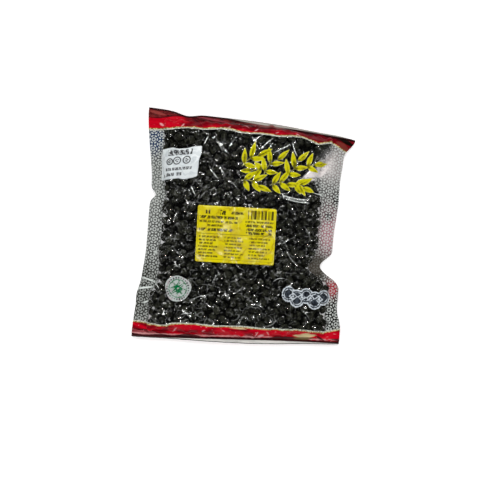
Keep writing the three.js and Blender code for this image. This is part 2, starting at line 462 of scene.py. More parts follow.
class Shade:
    """A number in a shader. Python's operators add the Math nodes that work it out."""

    __add__, __radd__ = maths("ADD"), maths("ADD", True)
    __sub__, __rsub__ = maths("SUBTRACT"), maths("SUBTRACT", True)
    __mul__, __rmul__ = maths("MULTIPLY"), maths("MULTIPLY", True)
    __truediv__, __rtruediv__ = maths("DIVIDE"), maths("DIVIDE", True)
    __abs__, most = maths("ABSOLUTE"), maths("MAXIMUM")
    fract, root = maths("FRACT"), maths("SQRT")
    sine, cosine = maths("SINE"), maths("COSINE")

    def __init__(self, sheet: "NodeSheet", socket: Socket) -> None:
        """Wrap a socket of a sheet's node."""
        self.sheet = sheet
        self.socket = socket

    def climb(self, low: float, high: float) -> "Shade":
        """Climb smoothly from 0 at low to 1 at high, or fall where low is the higher.

        Args:
            low: the number that gives 0.
            high: the number that gives 1.

        Returns:
            The share, from 0 to 1.
        """
        if low > high:
            return 1 - self.climb(high, low)
        made = self.sheet.node(
            "ShaderNodeMapRange",
            {"interpolation_type": "SMOOTHSTEP"},
            {"Value": self, "From Min": low, "From Max": high},
        )
        return Shade(self.sheet, made.outputs[0])


class NodeSheet:
    """The nodes of one tree: a material's, the room's or a modifier's."""

    def __init__(self, owner: bpy.types.ID) -> None:
        """Start on an empty tree.

        Args:
            owner: a group of nodes, or the material or world whose tree it is.
        """
        self.owner = owner
        if isinstance(owner, bpy.types.NodeTree):
            self.tree = owner
        else:
            owner.use_nodes = True
            self.tree = owner.node_tree
        self.tree.nodes.clear()

    @classmethod
    def material(cls, name: str) -> "NodeSheet":
        """Start an empty material."""
        return cls(bpy.data.materials.new(name))

    def node(self, kind: str, settings: Entries = NOTHING, sockets: Entries = NOTHING) -> bpy.types.Node:
        """Add a node.

        Args:
            kind: the node's type.
            settings: its own settings, set first.
            sockets: what goes into each input, by name or number: a value, a socket or a Shade.

        Returns:
            The node.
        """
        made = self.tree.nodes.new(kind)
        for key, value in settings.items():
            setattr(made, key, value)
        for key, value in sockets.items():
            entry = made.inputs[key]
            if isinstance(value, Shade):
                value = value.socket
            if isinstance(value, Socket):
                self.tree.links.new(value, entry)
            elif isinstance(value, tuple) and entry.type == "RGBA":
                entry.default_value = (*value[:3], 1.0)
            else:
                entry.default_value = value
        return made

    def math(self, operation: str, *values: Number) -> Shade:
        """Add a Math node over two values or one."""
        made = self.node("ShaderNodeMath", {"operation": operation}, dict(enumerate(values)))
        return Shade(self, made.outputs[0])

    def written(self, name: str) -> bpy.types.bpy_prop_collection:
        """Read what is written on the piece's points under a name."""
        return self.node("ShaderNodeAttribute", {"attribute_name": name}).outputs

    def number(self, name: str) -> Shade:
        """Read a number that is written on the piece's points."""
        return Shade(self, self.written(name)["Fac"])

    def colour(self, name: str) -> Socket:
        """Read a colour that is written on the piece's points."""
        return self.written(name)["Color"]

    def vector(self, name: str) -> Socket:
        """Read a vector that is written on the piece's points."""
        return self.written(name)["Vector"]

    def axes(self, vector: Socket) -> tuple[Shade, Shade]:
        """Split a vector, and give its first two parts."""
        made = self.node("ShaderNodeSeparateXYZ", {}, {"Vector": vector})
        return Shade(self, made.outputs["X"]), Shade(self, made.outputs["Y"])

    def object_place(self) -> Socket:
        """Give the place on the piece, in metres."""
        return self.node("ShaderNodeTexCoord").outputs["Object"]

    def moved(self, vector: Socket, operation: str, by: Triple) -> Socket:
        """Add to a vector or multiply it, part by part."""
        return self.node("ShaderNodeVectorMath", {"operation": operation}, {0: vector, 1: by}).outputs[0]

    def mapped(self, vector: Socket, turn: float, scale: Triple) -> Socket:
        """Scale a vector, then turn it about the upright axis by radians."""
        return self.node("ShaderNodeMapping", {}, {0: vector, 2: (0.0, 0.0, turn), 3: scale}).outputs[0]

    def noise(self, vector: Socket, scale: float, detail: float = 2.0, kind: str = "FBM") -> Shade:
        """Add a noise over a vector."""
        sockets = {"Vector": vector, "Scale": scale, "Detail": detail}
        return Shade(self, self.node("ShaderNodeTexNoise", {"noise_type": kind}, sockets).outputs["Fac"])

    def blend(self, share: Number, first: object, second: object) -> Socket:
        """Mix two colours, the second by its share."""
        made = self.node("ShaderNodeMix", {"data_type": "RGBA"}, {0: share, 6: first, 7: second})
        return made.outputs[2]

    def between(self, share: Number, first: Number, second: Number) -> Shade:
        """Mix two numbers, the second by its share."""
        made = self.node("ShaderNodeMix", {"data_type": "FLOAT"}, {0: share, 2: first, 3: second})
        return Shade(self, made.outputs[0])

    def bump(self, height: Shade, distance: float, strength: float = 1.0) -> Socket:
        """Give the normal of a surface raised by a height, in units of distance."""
        made = self.node("ShaderNodeBump", {}, {"Height": height, "Distance": distance, "Strength": strength})
        return made.outputs["Normal"]

    def surface(self, sockets: Entries) -> Material:
        """End the material in a Principled shader.

        Args:
            sockets: what goes into the shader's inputs.

        Returns:
            The material.
        """
        shader = self.node("ShaderNodeBsdfPrincipled", {}, sockets)
        self.node("ShaderNodeOutputMaterial", {}, {"Surface": shader.outputs[0]})
        return self.owner


# ---- Beans ----


class BeanKind(Enum):
    """The sorts of bean that a handful shows."""

    PLUMP = "plump"
    WRINKLED = "wrinkled"
    DENTED = "dented"
    DEEPER = "deeper"


@dataclass(frozen=True)
class BeanFinish:
    """The dark, moist and slightly salty skin of a fermented black bean."""

    name: str = "fermented_bean_skin"
    dark: Colour = srgb(5, 5, 4)
    light: Colour = srgb(36, 37, 29)
    bloom: Colour = srgb(104, 106, 92)

    def make(self) -> Material:
        """Make the material.

        Returns:
            The material.
        """
        sheet = NodeSheet.material(self.name)
        place = sheet.object_place()
        tone = sheet.number("tone")
        mottle = sheet.noise(place, 460, 3)
        folds = sheet.noise(place, 520, 2, "RIDGED_MULTIFRACTAL")
        skin = sheet.blend((tone * 0.4 + mottle * 2.6 - 0.97).climb(0.28, 0.78), self.dark, self.light)
        salted = sheet.noise(place, 640, 3).climb(0.56, 0.74) * (0.25 + tone * 0.35)
        return sheet.surface(
            {
                "Base Color": sheet.blend(salted, skin, self.bloom),
                "Roughness": sheet.between(mottle, 0.4, 0.65),
                "Specular IOR Level": 0.06,
                "Normal": sheet.bump(folds * 0.7 + mottle * 0.6, 0.0016, 1.0),
            }
        )


@dataclass
class BeanBed:
    """A layer of beans lying against one sheet of the film."""

    lattice: Lattice
    seed: int
    nearest: float = 6.3
    depth: float = 2.9
    sink: float = 1.5
    radii: Triple = (4.9, 3.45, 2.9)
    lowest_rise: float = 0.06
    wall_push: float = 1.0
    far_side_rise: float = 0.5
    size_spread: float = 0.09
    size_limits: Spot = (0.8, 1.22)
    headings: int = 10
    turning_rounds: int = 3
    tip_spread: float = 0.2
    flush: bool = False
    centre: Grid = field(init=False)
    axes: Grid = field(init=False)
    size: Grid = field(init=False)
    home: Grid = field(init=False)

    def __post_init__(self) -> None:
        """Lay the beans."""
        random = np.random.default_rng(self.seed)
        self._throw(random)
        self._turn(random)
        if self.flush:
            self._draw_in()

    def _draw_in(self, clearance: float = 0.3) -> None:
        """Draw each bean in from the sheet until none of it stands out of the sheet's lattice.

        Args:
            clearance: how far inside it stays.
        """
        up = self.lattice.normal[self.home[:, 0], self.home[:, 1]]
        deep = ((self.lattice.place[self.home[:, 0], self.home[:, 1]] - self.centre) * up).sum(1)
        reach = np.sqrt((np.einsum("nki,nk->ni", self.axes, up) ** 2 * self.size**2).sum(1))
        self.centre -= up * np.maximum(0, reach + clearance - deep)[:, None]

    def _throw(self, random: np.random.Generator) -> None:
        """Choose places that keep the beans' middles apart.

        Args:
            random: where the chance in it comes from.
        """
        rise, place, normal = self.lattice.rise, self.lattice.place, self.lattice.normal
        open_places = np.argwhere(rise > self.lowest_rise)
        random.shuffle(open_places)
        sunk = self.depth + self.sink * random.random(len(open_places)) ** 1.5
        i, j = open_places.T
        sunk -= self.wall_push * (1 - smoothstep(rise[i, j], 0.3, 0.8))
        middles = place[i, j] - normal[i, j] * sunk[:, None]
        cells: dict[tuple[int, int, int], list[int]] = {}
        kept: list[int] = []
        keys = np.floor(middles / self.nearest).astype(int)
        steps = [(a, b, c) for a in (-1, 0, 1) for b in (-1, 0, 1) for c in (-1, 0, 1)]
        limit = self.nearest**2
        for n, (key, middle) in enumerate(zip(map(tuple, keys.tolist()), middles)):
            near = [m for a, b, c in steps for m in cells.get((key[0] + a, key[1] + b, key[2] + c), ())]
            if near and ((middles[near] - middle) ** 2).sum(1).min() < limit:
                continue
            cells.setdefault(key, []).append(n)
            kept.append(n)
        self.centre = middles[kept]
        self.home = open_places[kept]
        scatter = random.normal(1, self.size_spread, (len(kept), 3))
        self.size = np.array(self.radii) * scatter.clip(*self.size_limits)

    def _turn(self, random: np.random.Generator) -> None:
        """Turn each bean so that it least overlaps its neighbours, then tip it a little.

        Args:
            random: where the chance in it comes from.
        """
        count = len(self.centre)
        up = self.lattice.normal[self.home[:, 0], self.home[:, 1]]
        along = np.cross(up, np.array([1.0, 0.13, 0.0]))
        along /= np.linalg.norm(along, axis=1, keepdims=True)
        across = np.cross(up, along)
        choices = np.linspace(0, math.pi, self.headings, endpoint=False)
        angle = random.uniform(0, math.pi, count)
        gaps = np.linalg.norm(self.centre[:, None] - self.centre[None], axis=2)
        np.fill_diagonal(gaps, 99)
        near = [np.flatnonzero(row < 2.1 * self.radii[0]) for row in gaps]

        def reach(bean: Grid, turn: Grid, heading: Grid) -> Grid:
            """Give how far a turned bean reaches in a heading."""
            a, b = self.size[bean, 0], self.size[bean, 1]
            return a * b / np.sqrt((b * np.cos(heading - turn)) ** 2 + (a * np.sin(heading - turn)) ** 2)

        for _ in range(self.turning_rounds):
            for bean in range(count):
                others = near[bean]
                if not len(others):
                    continue
                way = self.centre[others] - self.centre[bean]
                heading = np.arctan2(way @ across[bean], way @ along[bean])
                theirs = reach(others, angle[others], heading)
                mine = np.array([reach(np.array(bean), turn, heading) for turn in choices])
                clash = np.maximum(0, mine + theirs - gaps[bean, others]).sum(axis=1)
                angle[bean] = choices[int(np.argmin(clash + random.uniform(0, 0.15, len(choices))))]
        tip = random.normal(0, self.tip_spread, (count, 2))
        first = np.cos(angle)[:, None] * along + np.sin(angle)[:, None] * across + up * tip[:, :1]
        first /= np.linalg.norm(first, axis=1, keepdims=True)
        third = up + across * tip[:, 1:]
        third -= first * (third * first).sum(1, keepdims=True)
        third /= np.linalg.norm(third, axis=1, keepdims=True)
        self.axes = np.stack([first, np.cross(third, first), third], axis=2)

    def bear_on(self, lattice: Lattice, lowest: float, clearance: float = 0.12) -> Grid:
        """Work out how far the beans hold a sheet of film up from its lattice.

        Args:
            lattice: the sheet's lattice. Where the beans were laid against the other one, only those near the
                block's foot are tried.
            lowest: what the film falls to where no bean holds it.
            clearance: how far the film stays off a bean.

        Returns:
            The least displacement along the normals at each point of the lattice.
        """
        held = np.full(lattice.rise.shape, lowest)
        window = int(math.ceil(self.radii[0] * 1.25 / lattice.spacing)) + 1
        home = self.home
        if lattice is not self.lattice:
            scale = (np.array(lattice.rise.shape) - 1) / (np.array(self.lattice.rise.shape) - 1)
            home = np.rint(home * scale).astype(int)
            window += 3
        for centre, axes, size, (i, j) in zip(self.centre, self.axes, self.size, home):
            if lattice is not self.lattice and lattice.rise[i, j] > self.far_side_rise:
                continue
            patch = (slice(max(0, i - window), i + window + 1), slice(max(0, j - window), j + window + 1))
            start = (lattice.place[patch] - centre) @ axes / (size + clearance)
            way = lattice.normal[patch] @ axes / (size + clearance)
            square, slant = (way**2).sum(-1), (start * way).sum(-1)
            inner = slant**2 - square * ((start**2).sum(-1) - 1)
            meets = np.where(inner > 0, (-slant + np.sqrt(np.maximum(inner, 0))) / square, lowest)
            held[patch] = np.maximum(held[patch], meets)
        return held


@dataclass
class BeanHeap:
    """All the beans of the pack, copied from one small mesh for each kind."""

    bench: Workbench
    material: Material
    seed: int = 5107
    wrinkle_depths: dict[BeanKind, float] = field(
        default_factory=lambda: {
            BeanKind.PLUMP: 0.05,
            BeanKind.WRINKLED: 0.13,
            BeanKind.DENTED: 0.09,
            BeanKind.DEEPER: 0.06,
        }
    )
    deepest: float = 0.42

    def pattern(self, kind: BeanKind) -> Piece:
        """Make the small mesh that a kind of bean is copied from, inside a ball of radius 1.

        Args:
            kind: which kind.

        Returns:
            The mesh's object.
        """
        mesh = bpy.data.meshes.new(f"{kind.value}_bean_pattern")
        made = bpy.data.objects.new(mesh.name, mesh)
        bpy.context.scene.collection.objects.link(made)
        points, faces = self._ball(1 if kind is BeanKind.DEEPER else 2)
        random = np.random.default_rng(self.seed + len(kind.value))
        depth = self.wrinkle_depths[kind]
        shrink = np.zeros(len(points))
        for _ in range(7 if kind is BeanKind.WRINKLED else 4):
            way = random.normal(0, 1, 3) * (0.45, 1, 1)
            way /= np.linalg.norm(way)
            shrink += depth * np.exp(-(((points @ way - random.uniform(-0.6, 0.6)) / 0.13) ** 2))
        if kind is BeanKind.DENTED:
            shrink += 0.3 * np.exp(-(((points - (0.15, 0.1, 1.0)) ** 2).sum(1)) / 0.22)
            shrink += 0.16 * np.exp(-(((points - (-0.2, 0.9, 0.1)) ** 2).sum(1)) / 0.2)
        shrink += 0.05 * (1 + np.sin(points @ (4.1, 5.3, 3.7)))
        points = points * (1 - np.clip(shrink, 0, self.deepest))[:, None]
        points[:, 1] *= 1 - 0.1 * points[:, 0] ** 2
        mesh.from_pydata(points.tolist(), [], faces.tolist())
        mesh.polygons.foreach_set("use_smooth", np.full(len(faces), True))
        return made

    @staticmethod
    def _ball(levels: int) -> tuple[Grid, Grid]:
        """Make a ball: an icosahedron whose faces are halved each way.

        Args:
            levels: how many times they are halved.

        Returns:
            The points and the triangles.
        """
        golden, edge_limit = (1 + math.sqrt(5)) / 2, 2.1
        start = [(-1, golden, 0), (1, golden, 0), (-1, -golden, 0), (1, -golden, 0)]
        points = [Vector(p) for p in start]
        points += [Vector((z, x, y)) for x, y, z in start] + [Vector((y, z, x)) for x, y, z in start]
        hull = []
        for trio in combinations(range(len(points)), 3):
            a, b, c = (points[n] for n in trio)
            if max((a - c).length, (b - a).length, (c - b).length) < edge_limit:
                outward = (b - a).cross(c - a).dot(a) > 0
                hull.append(trio if outward else (trio[0], trio[2], trio[1]))
        for _ in range(levels):
            halves: dict[tuple[int, int], int] = {}
            cut = []
            for a, b, c in hull:
                for pair in ((a, b), (b, c), (c, a)):
                    key = min(pair), max(pair)
                    if key not in halves:
                        halves[key] = len(points)
                        points.append((points[key[0]] + points[key[1]]) / 2)
                ab, bc, ca = (halves[min(pair), max(pair)] for pair in ((a, b), (b, c), (c, a)))
                cut += [(a, ab, ca), (b, bc, ab), (c, ca, bc), (ab, bc, ca)]
            hull = cut
        return np.array([p.normalized()[:] for p in points]), np.array(hull)

    def tree(self) -> bpy.types.NodeTree:
        """Build the nodes that put a bean on each point, turned and sized as the point says.

        Returns:
            The tree. Its inputs are the points, the bean to copy and the bean's skin.
        """
        made = bpy.data.node_groups.new("lay_beans", "GeometryNodeTree")
        for name, kind in (("Geometry", "Geometry"), ("Bean", "Object"), ("Skin", "Material")):
            made.interface.new_socket(name, in_out="INPUT", socket_type=f"NodeSocket{kind}")
        made.interface.new_socket("Geometry", in_out="OUTPUT", socket_type="NodeSocketGeometry")
        sheet = NodeSheet(made)
        entry = sheet.node("NodeGroupInput").outputs
        bean = sheet.node("GeometryNodeObjectInfo", {}, {"Object": entry["Bean"]})
        turn, size = (
            sheet.node("GeometryNodeInputNamedAttribute", {"data_type": "FLOAT_VECTOR"}, {"Name": name})
            for name in ("turn", "size")
        )
        lay = sheet.node(
            "GeometryNodeInstanceOnPoints",
            {},
            {
                "Points": entry["Geometry"],
                "Instance": bean.outputs["Geometry"],
                "Rotation": turn.outputs["Attribute"],
                "Scale": size.outputs["Attribute"],
            },
        )
        real = sheet.node("GeometryNodeRealizeInstances", {}, {"Geometry": lay.outputs["Instances"]})
        coat = sheet.node(
            "GeometryNodeSetMaterial", {}, {"Geometry": real.outputs["Geometry"], "Material": entry["Skin"]}
        )
        sheet.node("NodeGroupOutput", {}, {"Geometry": coat.outputs["Geometry"]})
        return made

    def lay(
        self, tree: bpy.types.NodeTree, kind: BeanKind, beds: list[BeanBed], share: range
    ) -> Piece:
        """Lay all the beans of one kind.

        Args:
            tree: the nodes that copy a bean to each point.
            kind: which kind.
            beds: the layers that it takes beans from.
            share: which of every so many beans are this kind, as a range whose stop is that many.

        Returns:
            The piece.
        """
        centres, turns, sizes = [], [], []
        for bed in beds:
            turn_of = np.arange(len(bed.centre)) % share.stop
            chosen = (turn_of >= share.start) & (turn_of < share.start + share.step)
            centres.append(bed.centre[chosen])
            sizes.append(bed.size[chosen])
            turns += [Matrix(axes.tolist()).to_euler()[:] for axes in bed.axes[chosen]]
        places = np.concatenate(centres)
        piece = self.bench.make(f"beans_{kind.value}", places, np.zeros((0, 3), dtype=int))
        random = np.random.default_rng(self.seed)
        self.bench.note(piece, "turn", np.array(turns))
        self.bench.note(piece, "size", np.concatenate(sizes) * MM)
        self.bench.note(piece, "tone", random.random(len(places)))
        pattern = self.pattern(kind)
        modifier = piece.modifiers.new("lay_beans", "NODES")
        modifier.node_group = tree
        for item in tree.interface.items_tree:
            if item.item_type == "SOCKET" and item.in_out == "INPUT" and item.name in ("Bean", "Skin"):
                modifier[item.identifier] = pattern if item.name == "Bean" else self.material
        bpy.context.view_layer.update()
        seen = piece.evaluated_get(bpy.context.evaluated_depsgraph_get())
        mesh = bpy.data.meshes.new_from_object(seen)
        piece.modifiers.clear()
        piece.data = mesh
        mesh.name = piece.name
        bpy.data.objects.remove(pattern)
        return piece


# ---- Print on the film ----


@dataclass(frozen=True)
class Sprig:
    """A printed sprig: a bowed stem with pairs of pointed leaves and one at its tip."""

    root: Spot
    tip: Spot
    bow: float = 3.0
    pairs: int = 3
    leaf: float = 15.0
    half_width: float = 2.35
    spread: float = 46.0
    stem: float = 0.5

    def heading(self) -> float:
        """Give the way from its root to its tip, in degrees."""
        return math.degrees(math.atan2(self.tip[1] - self.root[1], self.tip[0] - self.root[0]))

    def leaves(self) -> list[tuple[float, float, float, float]]:
        """Give each leaf's base, heading in degrees and length.

        Returns:
            One row for each leaf.
        """
        run, climb = self.tip[0] - self.root[0], self.tip[1] - self.root[1]
        heading, far = self.heading(), math.hypot(run, climb)
        found = []
        for n in range(self.pairs):
            share = (n + 0.35) / (self.pairs + 0.2)
            lift = self.bow * 4 * share * (1 - share) / far
            base = (self.root[0] + run * share - climb * lift, self.root[1] + climb * share + run * lift)
            length = self.leaf * (1 - 0.1 * abs(n - 1))
            for way in (1, -1):
                turn = way * (self.spread - 6 * n) + 7 * math.sin(5 * n + 2 * way + self.root[0])
                found.append((*base, heading + turn, length * (1.04 if way > 0 else 0.86)))
        return [*found, (*self.tip, heading - 6, self.leaf * 0.95)]

    def draw(self, x: Grid, y: Grid, depth: Grid, tone: Grid) -> None:
        """Draw the sprig on the film.

        Args:
            x, y: places across the bag and along it.
            depth: how far inside a leaf each place is, which is raised where it is inside one of these.
            tone: how light each place's leaf is.
        """
        for bx, by, heading, length in self.leaves():
            along, across = local_place(x, y, (bx, by), heading)
            share = np.clip(along / length, 0, 1)
            profile = self.half_width * np.sin(np.pi * share**0.75) ** 1.15
            inside = np.minimum(profile - np.abs(across), np.minimum(along, length - along))
            better = inside > depth
            depth[better] = inside[better]
            vein = 0.4 * bell(across, 0.1, 0.35) * (share < 0.75)
            shade = 0.68 + 0.12 * np.sign(across) - vein - 0.45 * smoothstep(-share, -0.3, -0.04)
            tone[better] = shade[better]
        along, across = local_place(x, y, self.root, self.heading())
        length = math.hypot(self.tip[0] - self.root[0], self.tip[1] - self.root[1])
        share = np.clip(along / length, 0, 1)
        off = np.abs(across - self.bow * 4 * share * (1 - share))
        inside = np.minimum(self.stem - off, np.minimum(along, length - along))
        better = inside > depth
        depth[better] = inside[better]
        tone[better] = 0.3


@dataclass(frozen=True)
class RoundSeal:
    """A printed white disc with a green rosette in two thin rings and a ring of dashes."""

    at: Spot = (-55.7, -55.5)
    radius: float = 11.6
    ring: float = 8.0
    petals: int = 8
    petal_reach: float = 7.2
    dashes: int = 26

    def polar(self, x: Grid, y: Grid) -> tuple[Grid, Grid]:
        """Give the way and the distance from its middle."""
        return np.arctan2(y - self.at[1], x - self.at[0]), np.hypot(x - self.at[0], y - self.at[1])

    def disc(self, x: Grid, y: Grid) -> Grid:
        """Give how far inside the disc each place is."""
        angle, away = self.polar(x, y)
        return self.radius + 0.5 * np.sin(3 * angle + 0.7) + 0.25 * np.sin(5 * angle) - away

    def green(self, x: Grid, y: Grid) -> Grid:
        """Give how far inside the green ink each place is.

        Args:
            x, y: places across the bag and along it.

        Returns:
            The distances, below 0 outside it.
        """
        angle, away = self.polar(x, y)
        rosette = self.petal_reach * (0.74 + 0.26 * np.cos(self.petals * angle + 0.5)) - away
        vein = np.abs((angle * self.petals / math.pi / 2 + 0.58) % 1 - 0.5) * 2 * math.pi / self.petals * away
        rosette = np.minimum(rosette, np.maximum(vein - 0.25, 2.2 - away))
        return np.maximum(np.minimum(rosette, away - 0.8), 0.45 - np.abs(away - self.ring))

    def lines(self, x: Grid, y: Grid) -> Grid:
        """Give how far inside the ring of grey dashes each place is.

        Args:
            x, y: places across the bag and along it.

        Returns:
            The distances, below 0 outside them.
        """
        angle, away = self.polar(x, y)
        step = 2 * math.pi / self.dashes
        along = np.abs((angle / step) % 1 - 0.5) * step * away
        stroke = np.minimum(0.75 - along, 0.8 + 0.3 * np.sin(4 * angle) - np.abs(away - 9.7))
        return np.minimum(stroke, np.abs(along - 0.1 * np.cos(9 * angle)) + 0.12)


@dataclass(frozen=True)
class CloudPanel:
    """A printed grey panel with a scalloped outline, an inner line and a row of diamonds, drawn in white."""

    at: Spot = (59.5, -54.6)
    turn: float = -2.0
    half_length: float = 20.0
    half_height: float = 8.4
    lobes: int = 5
    diamonds: int = 4

    def depth(self, x: Grid, y: Grid) -> Grid:
        """Give how far inside the panel each place is.

        Args:
            x, y: places across the bag and along it.

        Returns:
            The distances, below 0 outside it.
        """
        along, across = local_place(x, y, self.at, self.turn)
        deepest = np.full(x.shape, -99.0)
        for n in range(self.lobes):
            centre = self.half_length * (2 * (n + 0.5) / self.lobes - 1)
            lift = 1.6 * (-1) ** n
            radius = self.half_height * (0.84 + 0.12 * (n % 2))
            deepest = np.maximum(deepest, radius - np.hypot((along - centre) * 1.15, across - lift))
        return deepest

    def lines(self, x: Grid, y: Grid) -> Grid:
        """Give how far inside the panel's white lines each place is.

        Args:
            x, y: places across the bag and along it.

        Returns:
            The distances, below 0 outside them.
        """
        along, across = local_place(x, y, self.at, self.turn)
        depth = self.depth(x, y)
        outline = np.minimum(depth, 1.25 - depth)
        inner = 0.4 - np.abs(depth - 2.6)
        step = 2 * (self.half_length - 4.5) / self.diamonds
        slot = ((along + self.half_length - 4.5) / step) % 1 - 0.5
        diamond = np.abs(slot) * step * 0.85 + np.abs(across)
        within = self.half_length - 4.5 - np.abs(along)
        row = np.minimum(within, np.maximum(0.6 - np.abs(diamond - 2.9), 1.15 - diamond))
        return np.maximum(np.maximum(outline, inner), row)


@dataclass(frozen=True)
class Cast:
    """A place on the margins where the lace and the ground between it have their own strength and colour."""

    at: Spot
    spread: Spot
    share: float
    colour: Colour
    density: float
    lace: float = 1.0


@dataclass(frozen=True)
class Patch:
    """A lens-shaped patch of another colour: a scuff of the print, painted shade where the film is folded, or
    a painted glint.
    """

    at: Spot
    half: Spot
    turn: float
    colour: Colour
    cover: float

    def depth(self, x: Grid, y: Grid) -> Grid:
        """Give how far inside the patch each place is."""
        along, across = local_place(x, y, self.at, self.turn)
        return self.half[1] * (1 - (along / self.half[0]) ** 2) - np.abs(across)


# Colours of the band patches: painted shade, painted shade in red, a painted glint, and the cream of the
# print.
SHADE = srgb(30, 5, 9)
RED_SHADE = srgb(104, 6, 20)
PAINTED_GLINT = srgb(226, 168, 172)
CREAM = srgb(208, 194, 148)


@dataclass(frozen=True)
class FilmPrint:
    """All that is printed on the film, as numbers written on a sheet's points."""

    form: BagForm
    seal: RoundSeal = RoundSeal()
    panel: CloudPanel = CloudPanel()
    sprigs: tuple[Sprig, ...] = (
        Sprig((-7, 58), (6, 68), 2.0, 2, 16.5, 2.5),
        Sprig((13, 52), (24, 66), 2.5, 2, 16.0, 2.4),
        Sprig((32, 53), (42, 66), -2.0, 2, 16.0, 2.5),
        Sprig((-7, 45.5), (8, 42), 2.5, 2, 15.5, 2.6),
        Sprig((19, 43), (33, 45), 2.0, 2, 15.5, 2.5),
        Sprig((40, 45), (48, 43.5), 1.5, 2, 14.0, 2.4),
        Sprig((14, 57.5), (2, 55), -1.0, 1, 12.0, 2.3),
        Sprig((49, 61), (57, 64), 1.0, 1, 15.0, 2.4),
    )
    ground: Colour = srgb(60, 62, 58)
    density: float = 0.66
    cast_reach: float = 1.6
    smear: Patch = Patch((58.5, 56), (18, 5.2), 32, PAINTED_GLINT, 1.0)
    smear_end: Spot = (70, 68)
    smear_spread: Spot = (7, 12)
    smear_share: float = 0.75
    casts: tuple[Cast, ...] = (
        Cast((-88, 38), (10, 22), 0.8, srgb(104, 108, 104), 0.74, 0.85),
        Cast((-88, -60), (12, 26), 1.0, srgb(44, 46, 40), 0.88, 0.62),
        Cast((-88, 77), (9, 12), 0.9, srgb(18, 50, 88), 0.82),
        Cast((77, 5), (10, 20), 0.75, srgb(166, 112, 122), 0.66),
        Cast((80, 66), (14, 15), 0.85, srgb(150, 142, 140), 0.62, 0.9),
        Cast((83, 36), (5, 6), 1.0, srgb(16, 15, 15), 0.95),
        Cast((75, 20), (4, 5), 0.7, srgb(40, 36, 36), 0.85),
        Cast((68, -26), (12, 10), 1.0, srgb(66, 60, 52), 0.9, 0.16),
        Cast((84, -68), (9, 16), 1.0, srgb(20, 20, 19), 0.96),
        Cast((83.4, -45), (5.5, 6.5), 1.0, srgb(158, 40, 54), 0.9, 0.72),
    )
    # Of these patches, the near-black, wine-red and olive ones are painted shade in the film's folds, and the
    # pale pink ones are painted glints. The cream, brown and pinkish-brown ones are colours of the print.
    patches: tuple[Patch, ...] = tuple(
        Patch((x, y), (long, wide), turn, colour, cover)
        for x, y, long, wide, turn, colour, cover in (
            (-50.5, 95.2, 8, 1.5, -35, RED_SHADE, 0.9), (-53, 97.6, 5, 0.9, -24, SHADE, 0.8),
            (-82.8, 91.1, 2.6, 1.0, -30, PAINTED_GLINT, 0.9), (-63, 91.7, 2.0, 0.6, 50, PAINTED_GLINT, 0.8),
            (-22, 92, 2.4, 0.6, 35, PAINTED_GLINT, 0.7), (-6, 94.5, 3.0, 0.5, -25, PAINTED_GLINT, 0.5),
            (3.2, 92.6, 2.4, 0.7, 40, PAINTED_GLINT, 0.8), (22, 91.4, 2.0, 0.5, 25, PAINTED_GLINT, 0.6),
            (41, 90.6, 2.2, 0.6, -20, PAINTED_GLINT, 0.7), (62, 89.8, 9, 3.4, -16, RED_SHADE, 0.75),
            (-88, 101.8, 9, 1.5, -12, srgb(158, 70, 64), 0.6), (-91, 98.6, 6, 1.0, 4, srgb(124, 40, 40), 0.6),
            (-36, 99.0, 16, 0.9, -6, srgb(150, 62, 74), 0.7), (10, 97.0, 22, 0.8, -4, srgb(150, 84, 80), 0.6),
            (83, 84.4, 8, 3.0, -30, srgb(112, 50, 42), 0.8), (86.4, 88.6, 8.5, 2.1, -20, srgb(14, 8, 4), 1.0),
            (-43, -98.2, 12, 1.9, 2, SHADE, 0.9), (-17, -98.0, 13, 1.1, 3, SHADE, 0.8),
            (-82, -91.2, 7, 1.5, -3, RED_SHADE, 0.7), (-63, -91.5, 4, 1.3, 70, RED_SHADE, 0.8),
            (-56, -93.5, 3, 0.6, 48, PAINTED_GLINT, 0.7), (-30, -92, 1.6, 0.5, 40, PAINTED_GLINT, 0.7),
            (-12, -91, 1.8, 0.5, -30, PAINTED_GLINT, 0.6), (18, -91.4, 2.6, 0.5, 62, PAINTED_GLINT, 0.8),
            (22, -93.2, 2.8, 0.9, 15, PAINTED_GLINT, 0.9), (28, -90.4, 2.2, 0.5, -50, PAINTED_GLINT, 0.7),
            (1, -87.3, 8, 0.9, 1, CREAM, 0.85), (25, -86.2, 5, 0.8, 2, CREAM, 0.85),
            (62, -89.4, 11, 2.2, 5, CREAM, 0.95), (61, -92.3, 10, 1.3, 4, srgb(92, 82, 50), 0.9),
            (76, -91.0, 6, 1.1, -27, srgb(56, 8, 14), 0.9),
        )
    )

    def top_line(self, x: Grid) -> Grid:
        """Give the wavy line where the top band begins."""
        slow = 88.3 + 2.2 * bell(x, -30, 14) - 2.6 * smoothstep(-x, 62, 92) - 4.3 * smoothstep(x, 45, 60)
        return slow + 1.6 * bell(x, 69, 4) - 4.6 * smoothstep(x, 74, 88) + 0.5 * np.sin(x / 5.3)

    def bottom_line(self, x: Grid) -> Grid:
        """Give the wavy line where the bottom band begins."""
        slow = -88.9 + 2.4 * smoothstep(x, -68, -56) + 0.018 * np.maximum(0, x + 56)
        return slow + 2 * smoothstep(x, 80, 95) + 0.35 * np.sin(x / 7.1 + 1) - 1.2 * bell(x, -71, 6)

    def band(self, x: Grid, y: Grid) -> tuple[Grid, Grid]:
        """Find how far inside a coloured band each place is.

        Args:
            x, y: places across the bag and along it.

        Returns:
            The distances, and the same as shares of the band's height.
        """
        top, bottom = y - self.top_line(x), self.bottom_line(x) - y
        top_tall = self.form.top_edge(x) - self.top_line(x)
        tall = np.where(top > bottom, top_tall, self.bottom_line(x) - self.form.bottom_edge(x))
        deep = np.maximum(top, bottom)
        return deep, deep / tall

    def margin(self, x: Grid, y: Grid) -> Grid:
        """Give how far inside a side's lace margin each place is."""
        right = x - self.form.block_right(y) + 0.35 + 3 * bell(y, 57, 11)
        return np.maximum(self.form.block_left(y) + 0.35 - x, right)

